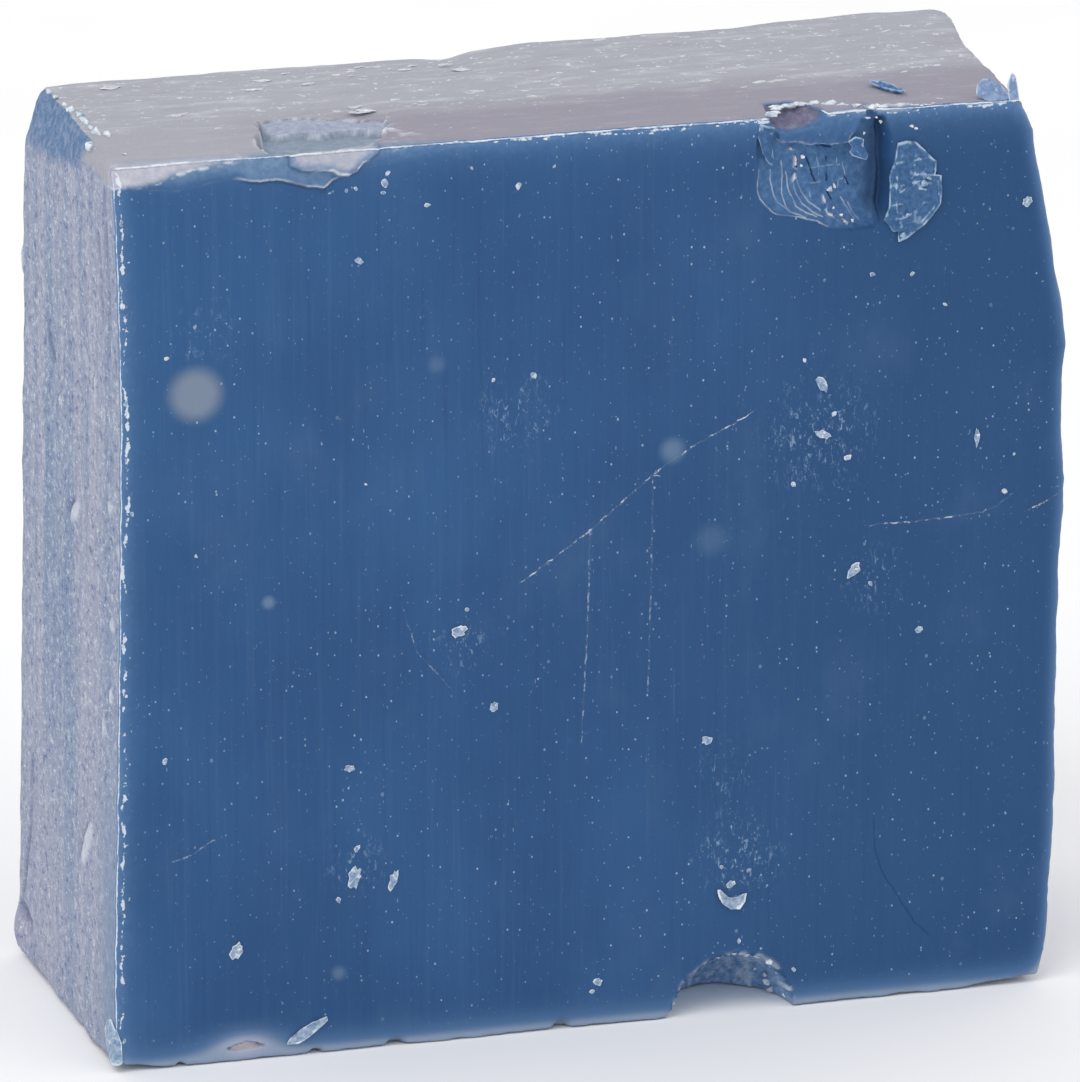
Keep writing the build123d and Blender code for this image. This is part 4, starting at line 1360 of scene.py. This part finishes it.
def dusty_side(g):
    """The scraped sides: short upright strokes in broad upright bands."""
    bands = g.noise((0.20, 0.26, 0.012), 3, 0.6)
    side = g.mix(g.ramp(bands, 0.30, 0.70), BLUE_GREY, LILAC)
    side = g.veil(side, g.axis(2), 40.0, 4.0, 0.35, LILAC)
    strokes = g.noise((2.8, 1.25, 1.35), 5, 0.74, 0.4)
    side = g.veil(side, strokes, 0.54, 0.64, 0.80, CHALK)
    side = g.veil(side, strokes, 0.46, 0.36, 0.80, STROKE_DARK)
    grain = g.noise((5.5, 2.3, 3.0), 4, 0.7)
    side = g.veil(side, grain, 0.59, 0.68, 0.8, WHITE)
    side = g.veil(side, grain, 0.41, 0.32, 0.5, STROKE_DARK)
    foot = g.times(g.ramp(g.axis(1), -9.0, -14.0), g.ramp(g.axis(2), 34.0, 12.0, 0.0, 0.7))
    side = g.mix(foot, side, BLUE_GREY)
    clots = g.noise((0.9, 0.5, 0.4), 5, 0.7)
    return g.veil(side, clots, 0.56, 0.70, 0.45, CHALK), strokes


def dusty_top(g):
    """The top: a smooth mauve strip at the front and chalky level streaks behind it."""
    place = g.plus(g.axis(1), g.sway((0.10, 0.35, 0.2), 3, 0.5, 6.0))
    behind = g.ramp(place, -8.0, -1.0)
    front = g.mix(g.ramp(g.axis(0), -16.0, -32.0, 0.0, 0.8), MAUVE, TOP_GREY)
    top = g.mix(behind, front, TOP_GREY)
    streak = g.noise((0.18, 0.7, 0.8), 5, 0.62)
    spread = g.plus(g.times(behind, 0.5), 0.12)
    top = g.mix(g.times(g.ramp(streak, 0.50, 0.70), spread), top, TOP_PALE)
    top = g.mix(g.times(g.ramp(streak, 0.44, 0.28), spread), top, TOP_DARK)
    flecks = g.noise((1.0, 1.5, 2.4), 5, 0.72, 0.3)
    amount = g.times(g.ramp(flecks, 0.59, 0.66), g.plus(g.times(behind, 0.72), 0.08))
    top = g.mix(amount, top, WHITE)
    pits = g.dots((1.1, 1.3, 1.1), 0.15, 0.45)
    return g.mix(g.times(pits, 0.7), top, WHITE), flecks


def edge_line(g, gap, where, reach, widest, here):
    """The white burr on an edge: a thin line on the corner, and a ragged one about reach away from it."""
    wobble = g.sway(2.6, 4, 0.7, 0.55)
    drift = g.sway(0.22, 3, 0.55, 1.3)
    on_corner = g.size(g.plus(g.mark(gap), g.times(wobble, 0.5)))
    broken = g.ramp(g.noise(0.7, 3, 0.6), 0.38, 0.52, 0.3, 1.0)
    thin = g.times(g.ramp(on_corner, 0.15, 0.06), broken)
    away = g.size(g.minus(g.plus(g.mark(gap), wobble), g.plus(drift, reach)))
    width = g.ramp(g.noise(0.9, 4, 0.65), 0.43, 0.68, -0.02, widest)
    ragged = g.times(g.ramp(g.minus(width, away), 0.0, 0.06, 0.0, 0.8), here)
    return g.times(g.most(thin, ragged), g.mark(where))


def scratch_line(g):
    """Fine scratches, broken into dashes."""
    away = g.size(g.plus(g.mark("scratch_gap"), g.sway(1.8, 4, 0.7, 0.4)))
    dashes = g.ramp(g.noise(1.3, 4, 0.7), 0.48, 0.62, 0.05, 1.0)
    return g.times(g.times(g.ramp(away, 0.09, 0.03), dashes), g.mark("scratch"))


# painted shade: a dark line along each front crack
def crack_shade_line(g):
    away = g.size(g.plus(g.mark("crack_gap"), g.sway(1.2, 3, 0.6, 0.3)))
    return g.times(g.ramp(away, 0.11, 0.03, 0.0, 0.75), g.mark("crack"))


def worn_skin(g, skin, crack, strokes):
    """Paints what broke, tore or smeared over the plain faces, and painted glow and shade."""
    # painted glow along the thin edges and round the slot
    skin = g.veil(skin, g.mark("thin"), 0.02, 0.55, 1.0, EDGE_GLOW_BLUE)
    skin = g.veil(skin, g.mark("thin"), 0.45, 1.0, 0.9, GLOW_BLUE)
    skin = g.patch(skin, g.times(g.mark("dished"), 0.9), crack, 0.35, 0.75, GOUGE_BLUES)
    skin = g.patch(skin, g.mark("band"), crack, 0.38, 0.7, BAND_BLUES)
    skin = g.patch(skin, g.mark("smear"), crack, 0.35, 0.7, SMEAR_BLUES)
    skin = g.patch(skin, g.mark("lilac"), crack, 0.35, 0.7, LIP_LILACS)
    skin = g.patch(skin, g.mark("chip"), strokes, 0.4, 0.72, CHIP_BLUES)
    skin = g.patch(skin, g.mark("sunk"), crack, 0.35, 0.72, HOLLOW_GREYS)
    skin = g.patch(skin, g.mark("ledge"), crack, 0.4, 0.7, LEDGE_LILACS)
    skin = g.patch(skin, g.mark("bitten"), crack, 0.34, 0.66, BITE_BLUES)
    # painted light in and round the slot
    skin = g.mix(g.mark("glow"), skin, SLOT_GLOW)
    skin = g.mix(g.mark("slot"), skin, SLOT_GLOW_PINK)
    # the hollow's mauve skin, darkened with painted shade
    skin = g.patch(skin, g.mark("mauve"), crack, 0.35, 0.75, SHADED_HOLLOW_MAUVES)
    # painted shade in the groove and cracks, and under the smear and the slot's roof
    skin = g.mix(g.mark("dark"), skin, PAINTED_SHADE_BLUE)
    # the dark slits, and the painted shadow beside each lens
    skin = g.mix(g.times(g.mark("slit"), 0.8), skin, SLIT_AND_SHADOW_DARK)
    # painted shade along the front cracks
    return g.mix(crack_shade_line(g), skin, CRACK_SHADE_BLUE)


def clay_material():
    g = Graph("blue_clay")
    bloom = g.mark("bloom")
    blue, wire, haze = cut_face(g)
    side, strokes = dusty_side(g)
    top, flecks = dusty_top(g)
    on_top = g.ramp(g.axis(2), HEIGHT - 2.2, HEIGHT - 1.2)
    skin = g.mix(bloom, blue, g.mix(on_top, side, top))
    skin = worn_skin(g, skin, g.noise(1.6, 5, 0.7), strokes)
    grit = g.noise(3.5, 4, 0.6)
    right_of_smear = g.ramp(g.axis(0), -18.0, -14.0)
    left_line = edge_line(g, "from_left", "left_edge", 0.5, 0.26, 1.0)
    top_line = edge_line(g, "from_top", "top_edge", 0.15, 0.2, right_of_smear)
    chalky = g.times(g.mark("white"), g.ramp(grit, 0.25, 0.5, 0.55, 1.0))
    chalky = g.most(g.most(chalky, g.most(left_line, top_line)), scratch_line(g))
    relief = g.mix(bloom, g.times(wire, 0.35), g.mix(on_top, strokes, flecks))
    normal = g.bump(relief, 0.12, 0.8)
    gritty = g.plus(g.times(bloom, 0.6), g.plus(g.mark("white"), 0.10))
    g.dress({
        "Base Color": g.mix(chalky, skin, WHITE),
        "Roughness": g.plus(g.times(bloom, 0.25), g.ramp(haze, 0.3, 0.8, 0.50, 0.62), True),
        "Specular IOR Level": 0.18,
        "Subsurface Weight": 0.08,
        "Subsurface Radius": (0.5, 0.8, 1.2),
        "Subsurface Scale": 0.4 * MM,
        "Normal": g.bump(g.times(grit, gritty), 0.16, 0.6, normal),
    })
    return g.material


def flake_material(name, inner, outer, rim_colour):
    """Thin clay that whitens towards its broken rim."""
    g = Graph(name)
    blotch = g.noise(2.2, 4, 0.65)
    grit = g.noise(6.0, 3, 0.6)
    skin = g.mix(g.ramp(blotch, 0.35, 0.68), inner, outer)
    rim = g.times(g.ramp(g.mark("rim"), 0.1, 0.8), g.ramp(grit, 0.25, 0.5, 0.6, 1.0))
    g.dress({
        "Base Color": g.mix(rim, skin, rim_colour),
        "Roughness": g.ramp(blotch, 0.3, 0.7, 0.5, 0.68),
        "Specular IOR Level": 0.25,
        "Subsurface Weight": 0.15,
        "Subsurface Radius": (0.6, 0.8, 1.0),
        "Subsurface Scale": 0.4 * MM,
        "Normal": g.bump(grit, 0.10, 0.6),
    })
    return g.material


# ---------------------------------------------------------------- studio

# half the floor's width and its level just under the bar, in metres
FLOOR_HALF = 3.0
FLOOR_LEVEL = -0.0001
# what the soft lights point at, in metres
AIM_AT = Vector((0, 0, 0.04))

def studio():
    floor_mesh = bpy.data.meshes.new("studio_floor")
    floor = add_object("studio_floor", floor_mesh)
    corners = [(-FLOOR_HALF, -FLOOR_HALF, 0), (FLOOR_HALF, -FLOOR_HALF, 0), (FLOOR_HALF, FLOOR_HALF, 0),
               (-FLOOR_HALF, FLOOR_HALF, 0)]
    floor_mesh.from_pydata(corners, [], [(0, 1, 2, 3)])
    floor.location.z = FLOOR_LEVEL
    g = Graph("studio_floor")
    grain = g.ramp(g.noise(0.02, 2), 0.3, 0.7)
    g.dress({
        "Base Color": g.mix(grain, FLOOR_PALE, FLOOR_DIM),
        "Roughness": 0.9,
        "Specular IOR Level": 0.1,
    })
    floor_mesh.materials.append(g.material)
    world = bpy.data.worlds.new("studio")
    bpy.context.scene.world = world
    world.use_nodes = True
    background = world.node_tree.nodes["Background"].inputs
    background["Color"].default_value = (1, 1, 1, 1)
    background["Strength"].default_value = 0.93
    soft_light("key", (-0.65, -0.6, 1.15), 0.9, 5.2)
    soft_light("fill", (0.9, -0.8, 0.6), 0.9, 0.4)


def soft_light(name, place, size, power):
    data = bpy.data.lights.new(name, "AREA")
    data.size = size
    data.energy = power
    lamp = add_object(name, data)
    lamp.location = place
    aim(lamp, AIM_AT - Vector(place))


def camera():
    data = bpy.data.cameras.new("camera")
    data.lens = LENS_MM
    data.sensor_width = 36.0
    data.clip_start = 0.05
    data.clip_end = 20.0
    cam = add_object("camera", data)
    a, e = math.radians(CAMERA_AZIMUTH), math.radians(CAMERA_ELEVATION)
    back = Vector((math.sin(a) * math.cos(e), -math.cos(a) * math.cos(e), math.sin(e)))
    cam.location = Vector(CAMERA_TARGET) * MM + back * CAMERA_DISTANCE * MM
    aim(cam, -back)
    bpy.context.scene.camera = cam
    bpy.context.scene.view_settings.view_transform = "Standard"


camera()
studio()
clay = clay_material()
thin_clay = flake_material("thin_clay", (48, 86, 130), (70, 108, 150), (164, 188, 212))
blue_shaving = flake_material("blue_shaving", (56, 96, 148), (96, 134, 178), (168, 188, 212))
crumbly_clay = flake_material("crumbly_clay", (112, 142, 176), (172, 188, 206), (228, 234, 240))
chalky_clay = flake_material("chalky_clay", (184, 187, 197), (206, 209, 217), (236, 238, 242))
pale_curl = flake_material("pale_curl", (112, 138, 174), (146, 166, 196), (198, 209, 226))
pale_lump = flake_material("pale_lump", (150, 158, 166), (184, 188, 192), (204, 206, 208))
build_block(clay)
front_flakes(crumbly_clay)
gouge_pieces(thin_clay, crumbly_clay)
top_pieces(pale_curl, chalky_clay, blue_shaving)
edge_pieces(crumbly_clay)
sealed_lumps(pale_lump)
